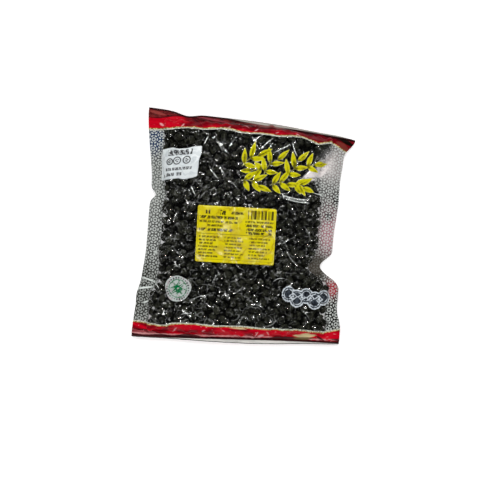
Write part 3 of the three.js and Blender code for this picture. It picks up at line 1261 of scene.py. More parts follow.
    def selvedge(self, x: Grid, y: Grid) -> Grid:
        """Give how far inside the bare strips along the bag's ends each place is.

        Args:
            x, y: places across the bag and along it.

        Returns:
            The distances, below 0 outside them.
        """
        wide = smoothstep(x, -32, -8) * (1.3 + 1.7 * bell(x, 14, 18)) * smoothstep(96 - x, 0, 20)
        top = y - self.form.top_edge(x) + wide - 0.3
        bottom = self.form.bottom_edge(x) + 0.6 + 3.1 * hollow(x, 14, 98) - y
        return np.maximum(top, bottom)

    @staticmethod
    def shade(x: Grid, y: Grid) -> Grid:
        """Find how much painted shade darkens the bands' red.

        Args:
            x, y: places across the bag and along it.

        Returns:
            From 0 where it is bright to 1 and more where the film leans away, as painted shade.
        """
        top = 0.9 * smoothstep(x, -72, -52) + 0.55 * bell(x, 66, 13) + 0.25 * bell(x, -42, 12)
        bottom = 0.15 + 0.3 * bell(x, 74, 5) + 0.5 * smoothstep(-x, 50, 72) + 0.3 * bell(x, -5, 30)
        return np.where(y > 0, top, bottom)

    def crush(self, x: Grid, y: Grid) -> Grid:
        """Give how far inside the sealed and crushed strips along the bag's ends each place is.

        Args:
            x, y: places across the bag and along it.

        Returns:
            The distances, below 0 outside them.
        """
        wide = 7.8 * smoothstep(-x, 60, 88) + 4.6 * smoothstep(x, -56, -44) * smoothstep(40 - x, 0, 40)
        top = y - self.form.top_edge(x) + 1.0 + wide
        wide = 1.6 + 5.2 * smoothstep(-x, 62, 80)
        bottom = self.form.bottom_edge(x) + 0.6 + 3.3 * hollow(x, 12, 85) + wide - y
        return np.maximum(top, bottom)

    def patched(self, x: Grid, y: Grid) -> Grid:
        """Find the patches' colours.

        Args:
            x, y: places across the bag and along it.

        Returns:
            A colour for each place, with the patch's cover as its fourth part.
        """
        painted = np.zeros((*x.shape, 4))
        for patch in self.patches:
            reach = patch.half[0] + 1
            near = (np.abs(x - patch.at[0]) < reach) & (np.abs(y - patch.at[1]) < reach)
            share = smoothstep(patch.depth(x[near], y[near]), -0.3, 0.4) * patch.cover
            ink, under = np.array(patch.colour), painted[near, :3]
            painted[near, :3] = np.where(painted[near, 3:] > 0, under + share[:, None] * (ink - under), ink)
            painted[near, 3] = np.maximum(painted[near, 3], share)
        return painted

    def smoke(self, x: Grid, y: Grid) -> tuple[Grid, Grid, Grid]:
        """Find how the margins look between the lace and on it.

        Args:
            x, y: places across the bag and along it.

        Returns:
            The ground's colour and density, and the lace's strength.
        """
        ground = np.ones((*x.shape, 4)) * (*self.ground, 1)
        density, lace = np.full(x.shape, self.density), np.ones(x.shape)
        for cast in self.casts:
            share = np.minimum(1, cast.share * mound(x, y, cast.at, cast.spread) * self.cast_reach)
            ground[..., :3] += share[..., None] * (np.array(cast.colour) - ground[..., :3])
            density += share * (cast.density - density)
            lace += share * (cast.lace - lace)
        return ground, density, lace

    def write(self, bench: Workbench, piece: Piece, place: Grid) -> None:
        """Write the print on a sheet's points.

        Args:
            bench: what writes on a piece.
            piece: the sheet's piece.
            place: its points before the beans dent it.
        """
        x, y = place[..., 0].ravel(), place[..., 1].ravel()
        depth, tone = np.full(x.shape, -5.0), np.zeros(x.shape)
        for sprig in self.sprigs:
            sprig.draw(x, y, depth, tone)
        haze = smoothstep(self.smear.depth(x, y), -1.0, 1.6)
        haze = np.maximum(haze, self.smear_share * mound(x, y, self.smear_end, self.smear_spread))
        band, band_share = self.band(x, y)
        ground, density, lace = self.smoke(x, y)
        patched = self.patched(x, y)
        for name, values in (
            ("band", band),
            ("band_share", band_share),
            ("crush", self.crush(x, y)),
            ("rim", self.form.inside(x, y)),
            ("shade", self.shade(x, y)),
            ("patch", np.concatenate([patched[:, :3], np.ones((len(patched), 1))], axis=1)),
            ("patch_cover", patched[:, 3].copy()),
            ("margin", self.margin(x, y)),
            ("selvedge", self.selvedge(x, y)),
            ("leaf", depth),
            ("leaf_tone", tone),
            ("seal", self.seal.disc(x, y)),
            ("green", self.seal.green(x, y)),
            ("dashes", self.seal.lines(x, y)),
            ("panel", self.panel.depth(x, y)),
            ("panel_lines", self.panel.lines(x, y)),
            ("haze", haze),
            ("smoke", ground),
            ("ground_cover", density),
            ("lace", lace),
            ("flat", np.stack([x, y, np.zeros_like(x)], axis=1)),
        ):
            bench.note(piece, name, values)


@dataclass
class Coats:
    """Inks laid over each other on the film, and how much of the film still shines through them."""

    sheet: NodeSheet
    colour: Socket
    alpha: Shade
    metal: Shade

    def lay(self, share: Shade, ink: object, cover: Number = 1.0) -> None:
        """Lay an ink over the rest.

        Args:
            share: where it lies.
            ink: its colour.
            cover: how opaque it is.
        """
        self.colour = self.sheet.blend(share, self.colour, ink)
        self.alpha = self.sheet.between(share, self.alpha, cover)
        self.metal = self.metal * (1 - share)


@dataclass(frozen=True)
class FilmFinish:
    """Clear film with its print: what is clear shows as a thin bright skin over what lies under it."""

    name: str = "printed_clear_film"
    clear: float = 0.009
    lace: Colour = srgb(190, 194, 190)
    white: Colour = srgb(200, 202, 188)
    dim_white: Colour = srgb(118, 116, 98)
    gold: Colour = srgb(112, 88, 34)
    pale_gold: Colour = srgb(206, 184, 122)
    red: Colour = srgb(188, 2, 28)
    # Painted shade: this darker red is laid where the band's film leans away.
    shaded_red: Colour = srgb(112, 2, 16)
    crushed: Colour = srgb(102, 16, 22)
    crushed_pink: Colour = srgb(146, 68, 74)
    crushed_light: Colour = srgb(164, 78, 72)
    # Painted shade: this near-black is laid in the bands' folds and along their edges.
    painted_fold_shade: Colour = srgb(34, 6, 8)
    # Painted highlight: this pale pink is laid as glints on the bands.
    glint: Colour = srgb(214, 150, 150)
    selvedge: Colour = srgb(210, 210, 204)
    selvedge_top: Colour = srgb(166, 160, 150)
    leaf_light: Colour = srgb(196, 190, 10)
    leaf_dark: Colour = srgb(96, 92, 4)
    paper_white: Colour = srgb(182, 192, 188)
    green: Colour = srgb(2, 98, 54)
    dash: Colour = srgb(66, 70, 68)
    panel: Colour = srgb(66, 74, 84)
    panel_line: Colour = srgb(196, 204, 210)
    haze: Colour = srgb(236, 228, 226)
    # The next colour is partly the film's stress whitening and partly a painted highlight along its drawn
    # creases; the one after paints highlights along its fine creases.
    stress_white_and_glint: Colour = srgb(218, 225, 220)
    painted_wire_glint: Colour = srgb(168, 174, 168)
    pinked: Colour = srgb(178, 160, 166)
    panel_dark: Colour = srgb(24, 28, 34)
    bare: Colour = (0.95, 0.95, 0.95)
    pitch: float = 8.6
    slip_away: float = 3.35
    ring_radius: float = 1.45
    edge: Spot = (-0.15, 0.25)
    thin_edge: Spot = (-0.1, 0.2)
    film_roughness: float = 0.07
    ink_roughness: float = 0.34
    # The fine lines come in sets, each with the scale of its noise, its width and its shift.
    wire_sets: tuple[Triple, ...] = ((115.0, 0.024, 0.4), (185.0, 0.034, 1.3), (290.0, 0.046, 2.9))
    fronted: bool = True

    @staticmethod
    def low_end(sheet: NodeSheet) -> Shade:
        """Give 0 over the bag's top half and 1 over its bottom half."""
        return sheet.axes(sheet.vector("flat"))[1].climb(10, -10)

    def lace_depth(self, sheet: NodeSheet) -> Shade:
        """Draw the lace: rings on a six-sided lattice, each with six slips round it.

        Args:
            sheet: the material's nodes.

        Returns:
            A number from 0 on the ground to 1 on the thread.
        """
        pitch, tall = self.pitch, self.pitch * math.sqrt(3)
        x, y = sheet.axes(sheet.vector("flat"))
        first = [((x / tall).fract() - 0.5) * tall, ((y / pitch).fract() - 0.5) * pitch]
        second = [((x / tall + 0.5).fract() - 0.5) * tall, ((y / pitch + 0.5).fract() - 0.5) * pitch]
        far_first = first[0] * first[0] + first[1] * first[1]
        far_second = second[0] * second[0] + second[1] * second[1]
        nearer = sheet.math("LESS_THAN", far_second, far_first)
        u = sheet.between(nearer, first[0], second[0])
        v = sheet.between(nearer, first[1], second[1])
        away = sheet.math("MINIMUM", far_first, far_second).root()
        sixth = math.pi / 3
        turn = sheet.math("ARCTAN2", v, u) / sixth + 0.5
        turn = (turn.fract() - 0.5) * sixth
        along, across = away * turn.cosine() - self.slip_away, away * turn.sine()
        slip = (along * along / 0.5 + across * across / 1.75).climb(1.25, 0.7)
        ring = abs(away - self.ring_radius).climb(0.75, 0.35)
        return slip.most(ring * 0.85)

    def stripes(self, sheet: NodeSheet) -> Socket:
        """Colour the bands: white and gold lines, bright red with painted shade and painted glints, then the
        seal's crushed strip.

        Args:
            sheet: the material's nodes.

        Returns:
            The colour.
        """
        band, crush, flat = sheet.number("band"), sheet.number("crush"), sheet.vector("flat")
        height = sheet.number("band_share")
        drawn = sheet.moved(flat, "MULTIPLY", (0.25, 1.0, 1.0))
        streak = sheet.noise(drawn, 0.6, 3)
        specks = sheet.noise(flat, 2.1, 2)
        sparks = sheet.noise(sheet.mapped(flat, 0.7, (0.5, 1.5, 1.0)), 0.55, 2).climb(0.67, 0.72)
        uneven = sheet.noise(flat, 0.35, 2) - 0.5
        low = self.low_end(sheet)
        line = band + uneven * 1.3
        # Painted shade: the red darkens, then turns near-black, where the film leans away.
        shade = sheet.number("shade") * (height * 1.3 + 0.3) + (sheet.noise(drawn, 0.22, 3) - 0.5) * 2.8
        red = sheet.blend(shade.climb(0.1, 0.8), self.red, self.shaded_red)
        red = sheet.blend(shade.climb(0.95, 1.7) * 0.85, red, self.painted_fold_shade)
        red = sheet.blend(specks.climb(0.64, 0.74) * 0.3, red, self.crushed_light)
        edge = crush + uneven * 1.2
        crushed = sheet.blend(low, self.crushed, self.crushed_pink)
        # Painted shade in the crushed strip's furrows.
        furrow = sheet.blend(low * 0.6, self.painted_fold_shade, self.shaded_red)
        crushed = sheet.blend(streak.climb(0.42, 0.6), crushed, furrow)
        crushed = sheet.blend(specks.climb(0.52, 0.66) * 0.55, crushed, self.crushed_light)
        red = sheet.blend(edge.climb(-0.2, 0.2), red, crushed)
        # Painted shade along the line where the crushed strip meets the red.
        red = sheet.blend(abs(edge).climb(0.9, 0.3) * 0.7, red, self.painted_fold_shade)
        inward = uneven * 1.4 - sheet.number("selvedge")
        worn = streak.climb(0.3, 0.5)
        # Painted highlights: a broken pale line along the bottom band's edge, and scattered sparks.
        glint = inward.climb(2.0, 2.6) * inward.climb(4.3, 3.4) * low * worn
        red = sheet.blend(glint * 0.85, red, self.glint)
        red = sheet.blend(sparks * (low * 0.55 + 0.3), red, self.glint)
        # Painted shade: a dark line along the ends' edges, widened into crescents at the bottom.
        crescent = sheet.noise(drawn, 0.13, 1).climb(0.42, 0.6) * low * 2.4
        red = sheet.blend((inward - crescent).climb(2.3, 1.4) * 0.92, red, self.painted_fold_shade)
        # The patches hold print colours, painted shade and painted glints.
        red = sheet.blend(sheet.number("patch_cover"), red, sheet.colour("patch"))
        gold = sheet.blend(sheet.noise(flat, 0.5, 1).climb(0.4, 0.65), self.gold, self.pale_gold)
        stripes = sheet.blend(line.climb(1.2, 1.6), gold, red)
        white = sheet.blend(sheet.noise(flat, 0.8, 2).climb(0.42, 0.66), self.white, self.dim_white)
        return sheet.blend(line.climb(0.4, 0.75), white, stripes)

    def make(self) -> Material:
        """Make the material, from the bare film up to the strips along its ends.

        Returns:
            The material.
        """
        sheet = NodeSheet.material(self.name)
        place = sheet.object_place()
        band, gloss = sheet.number("band"), sheet.number("gloss")
        side = sheet.number("margin").climb(-0.25, 0.25)
        fold = abs(sheet.number("crease"))
        coats = Coats(
            sheet,
            sheet.blend(side, self.bare, sheet.colour("smoke")),
            sheet.between(side, gloss * self.clear, sheet.number("ground_cover")),
            1 - side,
        )
        if self.fronted:
            self.print_front(coats, place, side, gloss, fold)
        coats.lay((band + 0.6 * sheet.noise(place, 400, 2)).climb(-0.5, -0.1), self.stripes(sheet))
        strip, low = sheet.number("selvedge").climb(-0.2, 0.3), self.low_end(sheet)
        coats.lay(strip, sheet.blend(low, self.selvedge_top, self.selvedge), cover=0.66)
        coats.lay(strip * sheet.number("rim").climb(1.1, 0.5) * (low * 0.6 + 0.4), self.dash, cover=0.8)
        return sheet.surface(
            {
                "Base Color": coats.colour,
                "Metallic": coats.metal,
                "Roughness": sheet.between(coats.metal, self.ink_roughness, self.film_roughness),
                "Specular IOR Level": 0.03,
                "Alpha": coats.alpha,
                "Normal": sheet.bump(self.relief(sheet, place, fold, coats.metal), 0.001),
            }
        )

    def print_front(self, coats: Coats, place: Socket, side: Shade, gloss: Shade, fold: Shade) -> None:
        """Lay the front sheet's fine creases as painted highlights, then its whitened creases, lace, leaves,
        seal and panel.

        Args:
            coats: what they are laid on.
            place: the place on the piece.
            side: 1 on the lace margins.
            gloss: how brightly the clear film shines.
            fold: the distance from the nearest drawn crease.
        """
        sheet, lay = coats.sheet, coats.lay
        grain = sheet.noise(place, 620, 2)
        worn = (grain - 0.5) * 1.6
        # Painted highlights along the fine creases, fainter where the film shines less.
        lay(self.wires(sheet, place) * (1 - side) * gloss * 0.6, self.painted_wire_glint, cover=0.7)
        lay(self.lace_depth(sheet) * side * sheet.number("lace"), self.lace, cover=0.92)
        # The drawn creases are whitened: partly the film's stress whitening, partly a painted highlight.
        whitened = (fold - side * 0.45).climb(0.52, 0.15) * sheet.number("crease_strength")
        lay(whitened, self.stress_white_and_glint, cover=0.96)
        brushed = sheet.mapped(place, -0.56, (60.0, 420.0, 100.0))
        streaks = sheet.noise(brushed, 1.0, 3).climb(0.3, 0.6) * 0.7 + 0.3
        lay(sheet.number("haze") * sheet.number("band").climb(0.3, -0.3) * streaks, self.haze, cover=0.85)
        tone = sheet.number("leaf_tone") + (sheet.noise(place, 210, 3) - 0.5) * 1.3
        leaf = sheet.blend(tone.climb(0.1, 0.7), self.leaf_dark, self.leaf_light)
        lay(sheet.number("leaf").climb(*self.edge), leaf, cover=0.98)
        seal = sheet.number("seal").climb(*self.edge)
        lay(seal, sheet.blend(grain.climb(0.45, 0.7), self.paper_white, self.pinked), cover=0.86)
        lay(sheet.number("dashes").climb(*self.thin_edge) * seal, self.dash, cover=0.9)
        green = sheet.number("green") + (grain - 0.5) * 1.2
        lay(green.climb(-0.15, 0.2) * seal, self.green, cover=0.95)
        panel = (sheet.number("panel") + worn).climb(*self.edge)
        lay(panel, sheet.blend(grain.climb(0.4, 0.6), self.panel, self.panel_dark), cover=0.7)
        lay((sheet.number("panel_lines") + worn).climb(*self.thin_edge) * panel, self.panel_line, cover=0.92)

    def relief(self, sheet: NodeSheet, place: Socket, fold: Shade, clear: Shade) -> Shade:
        """Give the height of the film's small creases.

        Args:
            sheet: the material's nodes.
            place: the place on the piece.
            fold: the distance from the nearest drawn crease.
            clear: 1 where the film is clear and 0 where it is printed.

        Returns:
            The height, in millimetres.
        """
        drawn = fold.climb(1.0, 0.0) * sheet.number("crease_strength") * 0.3
        waves = sheet.noise(place, 190, 1, "RIDGED_MULTIFRACTAL") * 0.05
        return (drawn + waves + self.wires(sheet, place, 2.0) * 0.03) * (clear * 0.75 + 0.25)

    def wires(self, sheet: NodeSheet, place: Socket, wider: float = 1.0) -> Shade:
        """Draw fine wandering lines where the film creases round the beans, for its relief and as painted
        highlights.

        Args:
            sheet: the material's nodes.
            place: the place on the piece.
            wider: how many times wider than the whitened line.

        Returns:
            A number from 0 on the film to 1 on a line.
        """
        lines = []
        for scale, width, shift in self.wire_sets:
            line = abs(sheet.noise(sheet.moved(place, "ADD", (shift, 0.0, 0.0)), scale, 0) - 0.5)
            gaps = sheet.noise(sheet.moved(place, "ADD", (0.0, shift, 0.7)), scale * 0.9, 0)
            lines.append(line.climb(width * wider, 0.0) * gaps.climb(0.56, 0.64))
        return reduce(Shade.most, lines)


# ---- Film ----


@dataclass(frozen=True)
class Crease:
    """A sharp fold that stands a little off the film."""

    at: Spot
    turn: float
    length: float
    height: float
    width: float = 0.4
    bow: float = 0.0

    def trace(self, x: Grid, y: Grid) -> tuple[Grid, Grid, Grid]:
        """Find places from the fold's own bowed line.

        Args:
            x, y: places across the bag and along it.

        Returns:
            How far along the line and off it each place is, and a share, 0 at its ends and 1 in its middle.
        """
        along, across = local_place(x, y, self.at, self.turn)
        share = np.clip(1 - (2 * along / self.length) ** 2, 0, 1)
        return along, across - self.bow * share, share

    def raise_film(self, x: Grid, y: Grid) -> Grid:
        """Give how far it lifts each place."""
        _, off, share = self.trace(x, y)
        return self.height * np.sqrt(share) * np.exp(-np.abs(off) / self.width)


@dataclass
class FilmSheet:
    """One sheet of the film, drawn tight over the beans."""

    lattice: Lattice
    bench: Workbench
    bed: BeanBed
    other_bed: BeanBed
    lowest: float = -3.0
    start_lowest: float = -1.2
    pull: float = 0.014
    label_pull: float = 0.0035
    fin_pull: float = 0.08
    rounds: int = 240
    smoothing: float = 0.4
    label_flattening: float = 0.85
    off_floor: float = 0.02
    top_dimming: float = 0.55
    right_dimming: float = 0.3
    seed: int = 881
    tent_reach: float = 11.5
    tent_share: float = 0.42
    tent_slopes: Spot = (0.22, 0.6)
    tent_sags: Spot = (0.1, 0.5)
    flat_rise: float = 0.6
    band_from: float = 88.0
    band_wave: float = 4.6
    folds: tuple[Crease, ...] = (
        Crease((48, -2), -53, 46, -1.4, 1.6, 2.0),
        Crease((40, 6), -56, 30, 0.7, 0.9, -1.5),
        Crease((57, -14), -58, 26, 0.8, 0.9, 1.0),
        Crease((45, 34.5), -8, 31, 0.9, 1.0, 1.2),
    )
    creases: tuple[Crease, ...] = tuple(
        Crease((x, y), turn, length, height, bow=bow)
        for x, y, turn, length, height, bow in (
            (43, 34.2, -6, 25, 1.0, -1.2), (44.6, 31.4, -6, 23, 1.0, -1.0), (31.8, 34.4, -70, 5, 0.9, 0),
            (63, 38.5, -14, 10, 0.8, 0.8), (-86, -57.8, 11.4, 15, 1.0, 0), (-84, -50.6, -14, 15.5, 0.8, 0.5),
            (-75, -54.6, -52, 6, 0.8, 0), (-84, -70.4, 24, 6.5, 1.0, 0), (-79, -24.7, 60, 5, 0.7, 0),
            (14, 80, 48, 16, 0.7, 1.0), (27, 76.5, 30, 17, 0.8, 0), (4, 80, -55, 14, 0.6, -1.0),
            (39, 77, -66, 14, 0.9, -0.6), (26, 71, -62, 12, 0.5, 0), (-18, 78, 62, 12, 0.35, 0),
            (-29, 76, -58, 14, 0.5, 0), (-25, 74, -52, 12, 0.35, 0), (-41, 79, 68, 9, 0.9, 0),
            (57, 66, 68, 14, 0.5, 0), (-31, 49, -48, 11, 0.7, 0), (-24, 52, -56, 10, 0.5, 0),
            (-14, 41, -40, 12, 0.5, 1.0), (4, 36, 36, 12, 0.4, -1.0), (-49, 33, -60, 10, 0.8, 0),
            (-40, 30, 55, 9, 0.5, 0), (34, -41, 20, 11, 0.7, 1.6), (-22, -44, 60, 12, 0.5, 1.5),
            (-2, -52, 40, 12, 0.5, -1.5), (-36, -63, 24, 14, 0.5, 1.8), (16, -66, -12, 13, 0.5, 1.6),
            (-46, -78, 8, 10, 0.6, 1.0), (30, -80, 34, 11, 0.5, -1.4), (60, -70, -44, 12, 0.4, 1.0),
            (56, 2, -62, 16, 0.4, 1.4), (44, -20, -50, 18, 0.5, -1.2), (-62, 8, 75, 12, 0.4, 1.6),
            (-58, -22, -38, 12, 0.4, -1.4),
        )
    )
    place: Grid = field(init=False)

    @property
    def plan(self) -> tuple[Grid, Grid]:
        """Give the places of its points across the bag and along it, before the beans dent it."""
        return self.lattice.place[..., 0], self.lattice.place[..., 1]

    @staticmethod
    def _mean(depth: Grid) -> Grid:
        """Give the mean of the four points next to each inner one."""
        return (depth[:-2, 1:-1] + depth[2:, 1:-1] + depth[1:-1, :-2] + depth[1:-1, 2:]) / 4

    def settle(self, stiff: Grid) -> None:
        """Let the film settle on the beans.

        Args:
            stiff: how stiff the film is at each point of the lattice, from 0 where bare to 1 under a label.
        """
        held = self._tents(self.bed.bear_on(self.lattice, self.lowest))
        held = np.maximum(held, self.other_bed.bear_on(self.lattice, self.lowest))
        fin = self.lattice.rise <= 0
        held[fin] = np.maximum(held[fin], 0)
        pull = self.pull * (1 - stiff) + self.label_pull * stiff
        pull[fin] = self.fin_pull
        depth, inner = held.copy(), (slice(1, -1), slice(1, -1))
        depth[inner] = np.maximum(depth[inner], self.start_lowest)
        for _ in range(self.rounds):
            depth[inner] = np.maximum(held[inner], self._mean(depth) - pull[inner])
        depth[inner] += self.smoothing * (self._mean(depth) - depth[inner])
        depth += self._folds() * (1 - self.label_flattening * stiff)
        self.place = self.lattice.place + self.lattice.normal * depth[..., None]
        self.place[..., 2] += self._fin_ripples()
        self.place[..., 2] = np.maximum(self.place[..., 2], self.off_floor)

    def _tents(self, held: Grid) -> Grid:
        """Stretch the film into straight sharp ridges between some of the beans that lie side by side.

        Args:
            held: how far the beans hold the film up from its lattice.

        Returns:
            The same with the ridges.
        """
        random = np.random.default_rng(self.seed + 2)
        home, place = self.bed.home, self.lattice.place
        flat = self.lattice.rise[home[:, 0], home[:, 1]] > self.flat_rise
        gaps = np.linalg.norm(self.bed.centre[:, None] - self.bed.centre[None], axis=2)
        gaps[~flat] = gaps[:, ~flat] = np.inf
        tented = held.copy()
        for a, b in np.argwhere(np.triu(gaps < self.tent_reach, 1)):
            chance = random.random()
            slope, sag = random.uniform(*self.tent_slopes), random.uniform(*self.tent_sags)
            if chance > self.tent_share:
                continue
            ends = home[[a, b]]
            low, high = ends.min(0) - 4, ends.max(0) + 5
            patch = (slice(low[0], high[0]), slice(low[1], high[1]))
            first, last = place[tuple(ends[0])], place[tuple(ends[1])]
            run, climb = last[:2] - first[:2]
            length = math.hypot(run, climb)
            middle = ((first[0] + last[0]) / 2, (first[1] + last[1]) / 2)
            turn = math.degrees(math.atan2(climb, run))
            along, across = local_place(place[patch][..., 0], place[patch][..., 1], middle, turn)
            share = along / length + 0.5
            rest = held[tuple(ends[0])] * (1 - share) + held[tuple(ends[1])] * share
            roof = rest - 4 * sag * share * (1 - share) - slope * np.abs(across)
            between = (share > 0) & (share < 1)
            tented[patch] = np.where(between, np.maximum(tented[patch], roof), tented[patch])
        return tented

    def _folds(self) -> Grid:
        """Give the lift of the broad folds in the film over the beans."""
        return sum(fold.raise_film(*self.plan) for fold in self.folds)

    def _fin_ripples(self) -> Grid:
        """Make the small waves of the two sheets beyond the block, the same on both.

        Returns:
            How far each point is lifted.
        """
        x, y = self.plan
        form = self.lattice.form
        out = smoothstep(form.beyond(x, y), 0.3, 4) * smoothstep(form.inside(x, y), -0.5, 1.5)
        band = np.abs(y) - self.band_from
        in_band = smoothstep(band, -2, 3)
        slow, quick = SoftNoise(14, 31).at(x, y), SoftNoise(3.4, 32).at(x, y)
        along = 0.45 * np.sin(2 * np.pi * (band / self.band_wave + 0.55 * slow)) + 0.22 * quick
        gathers = 0.3 * slow + 0.25 * quick
        return out * (in_band * along + (1 - in_band) * gathers)

    def crease_lines(self) -> tuple[Grid, Grid]:
        """Find each place's nearest sharp crease.

        Returns:
            How far off its line each place lies, with its sign, and how strong the crease is there.
        """
        x, y = self.plan
        nearest, strength = np.full(x.shape, 3.0), np.zeros(x.shape)
        for crease in self.creases:
            along, off, share = crease.trace(x, y)
            better = (np.abs(off) < np.abs(nearest)) & (np.abs(along) < crease.length / 2 + 1)
            nearest[better] = off[better]
            strength[better] = (crease.height * share**0.4)[better]
        return nearest, strength

    def make(self, name: str) -> Piece:
        """Make the sheet's piece.

        Args:
            name: the piece's name.

        Returns:
            The piece, with its creases and its gloss written on its points.
        """
        faces = self.bench.grid_faces(*self.lattice.rise.shape, self.lattice.side is Side.FRONT)
        piece = self.bench.make(name, self.place.reshape(-1, 3), faces)
        across, strength = self.crease_lines()
        x, y = self.plan
        top, right = self.top_dimming * smoothstep(y, 15, 75), self.right_dimming * smoothstep(x, 25, 60)
        gloss = (0.3 + 0.7 * smoothstep(self.lattice.rise, 0.3, 0.85)) * ((1 - top) * (1 - right))
        for key, values in (("crease", across), ("crease_strength", strength), ("gloss", gloss)):
            self.bench.note(piece, key, values.ravel())
        return piece


# ---- Labels ----


@dataclass
class HeightMap:
    """The film's height over its plan, smoothed a little, for what is stuck on it."""

    place: Grid
    cell: float = 1.0
    reach: float = 100.0
    rounds: int = 2
    height: Grid = field(init=False)

    def __post_init__(self) -> None:
        """Gather the film's points into cells."""
        count = int(2 * self.reach / self.cell)
        x, y, z = self.place.reshape(-1, 3).T
        i = ((x + self.reach) / self.cell).astype(int).clip(0, count - 1)
        j = ((y + self.reach) / self.cell).astype(int).clip(0, count - 1)
        total, number = np.zeros((count, count)), np.zeros((count, count))
        np.add.at(total, (i, j), z)
        np.add.at(number, (i, j), 1)
        self.height = total / np.maximum(number, 1)
        for _ in range(self.rounds):
            around = sum(np.roll(self.height, step, axis) for step in (1, -1) for axis in (0, 1))
            self.height = self.height * 0.5 + around * 0.125

    def at(self, x: Grid, y: Grid) -> Grid:
        """Give the height at each place."""
        return sample(self.height, (x + self.reach) / self.cell - 0.5, (y + self.reach) / self.cell - 0.5)


@dataclass
class PaperSheet:
    """A label stuck on the film."""

    bench: Workbench
    name: str
    width: float
    height: float
    at: Spot
    turn: float
    corner: float
    lean: float = 0.0
    narrowing: float = 0.0
    ragged: float = 0.0
    spacing: float = 0.7
    lift: float = 0.16
    thickness: float = 0.12

    def cover(self, x: Grid, y: Grid, margin: float = 1.0) -> Grid:
        """Find what the label covers.

        Args:
            x, y: places across the bag and along it.
            margin: how far outside it nothing is covered any more.

        Returns:
            From 1 where it lies to 0 outside the margin.
        """
        along, across = local_place(x, y, self.at, self.turn)
        outside = np.maximum(np.abs(along) - self.width / 2, np.abs(across) - self.height / 2)
        return 1 - smoothstep(outside, 0.2, margin)

    def make(self, ground: HeightMap) -> Piece:
        """Make the piece, lying on the film.

        Args:
            ground: the height of the film.

        Returns:
            The piece, with its own places in millimetres in the attribute flat.
        """
        columns, rows = round(self.width / self.spacing) + 1, round(self.height / self.spacing) + 1
        half_width, half_height = self.width / 2, self.height / 2
        wide = np.linspace(-half_width, half_width, columns)
        along, across = np.meshgrid(wide, np.linspace(-half_height, half_height, rows), indexing="ij")
        over_u = np.abs(along) - (half_width - self.corner)
        over_v = np.abs(across) - (half_height - self.corner)
        in_corner = (over_u > 0) & (over_v > 0)
        far = np.where(in_corner, np.hypot(over_u, over_v), 1)
        draw = np.where(in_corner, np.minimum(1, np.maximum(over_u, over_v) / far), 1)
        u = np.where(in_corner, np.sign(along) * (half_width - self.corner + over_u * draw), along)
        v = np.where(in_corner, np.sign(across) * (half_height - self.corner + over_v * draw), across)
        wave = SoftNoise(6.5, 77)
        along = u * (1 + self.narrowing * v / half_height)
        along = along + self.ragged * wave.at(u, v + 90) * (np.abs(u) / half_width) ** 6
        across = v + self.ragged * wave.at(u + 60, v) * (np.abs(v) / half_height) ** 6
        main, cross = math.radians(self.turn + self.lean), math.radians(self.turn - self.lean)
        x = self.at[0] + math.cos(main) * along - math.sin(cross) * across
        y = self.at[1] + math.sin(main) * along + math.cos(cross) * across
        top = np.stack([x, y, ground.at(x, y) + self.lift + self.thickness], axis=-1).reshape(-1, 3)
        ring = self.bench.border(columns, rows)
        skirt = top[ring] - (0, 0, self.thickness)
        below = len(top) + np.arange(len(ring))
        rim = np.stack([below, np.roll(below, -1), np.roll(ring, -1), ring], axis=1)
        faces = np.concatenate([self.bench.grid_faces(columns, rows), rim])
        piece = self.bench.make(self.name, np.concatenate([top, skirt]), faces)
        flat = np.stack([u, v, np.zeros_like(u)], axis=-1).reshape(-1, 3)
        self.bench.note(piece, "flat", np.concatenate([flat, flat[ring]]))
        return piece


@dataclass(frozen=True)
class PrintRow:
    """A row of dashes, as small print looks from far, or a plain rule."""

    left: float
    right: float
    at: float
    tall: float
    word: float = 3.0
    dark: float = 0.9

    def inside(self, x: Shade, y: Shade, soft: float = 0.1) -> Shade:
        """Give 1 inside the row, with a soft edge above and below."""
        level = abs(y - self.at).climb(self.tall / 2 + soft, self.tall / 2 - soft)
        return level * (x - self.left).climb(-0.1, 0.1) * (self.right - x).climb(-0.1, 0.1)


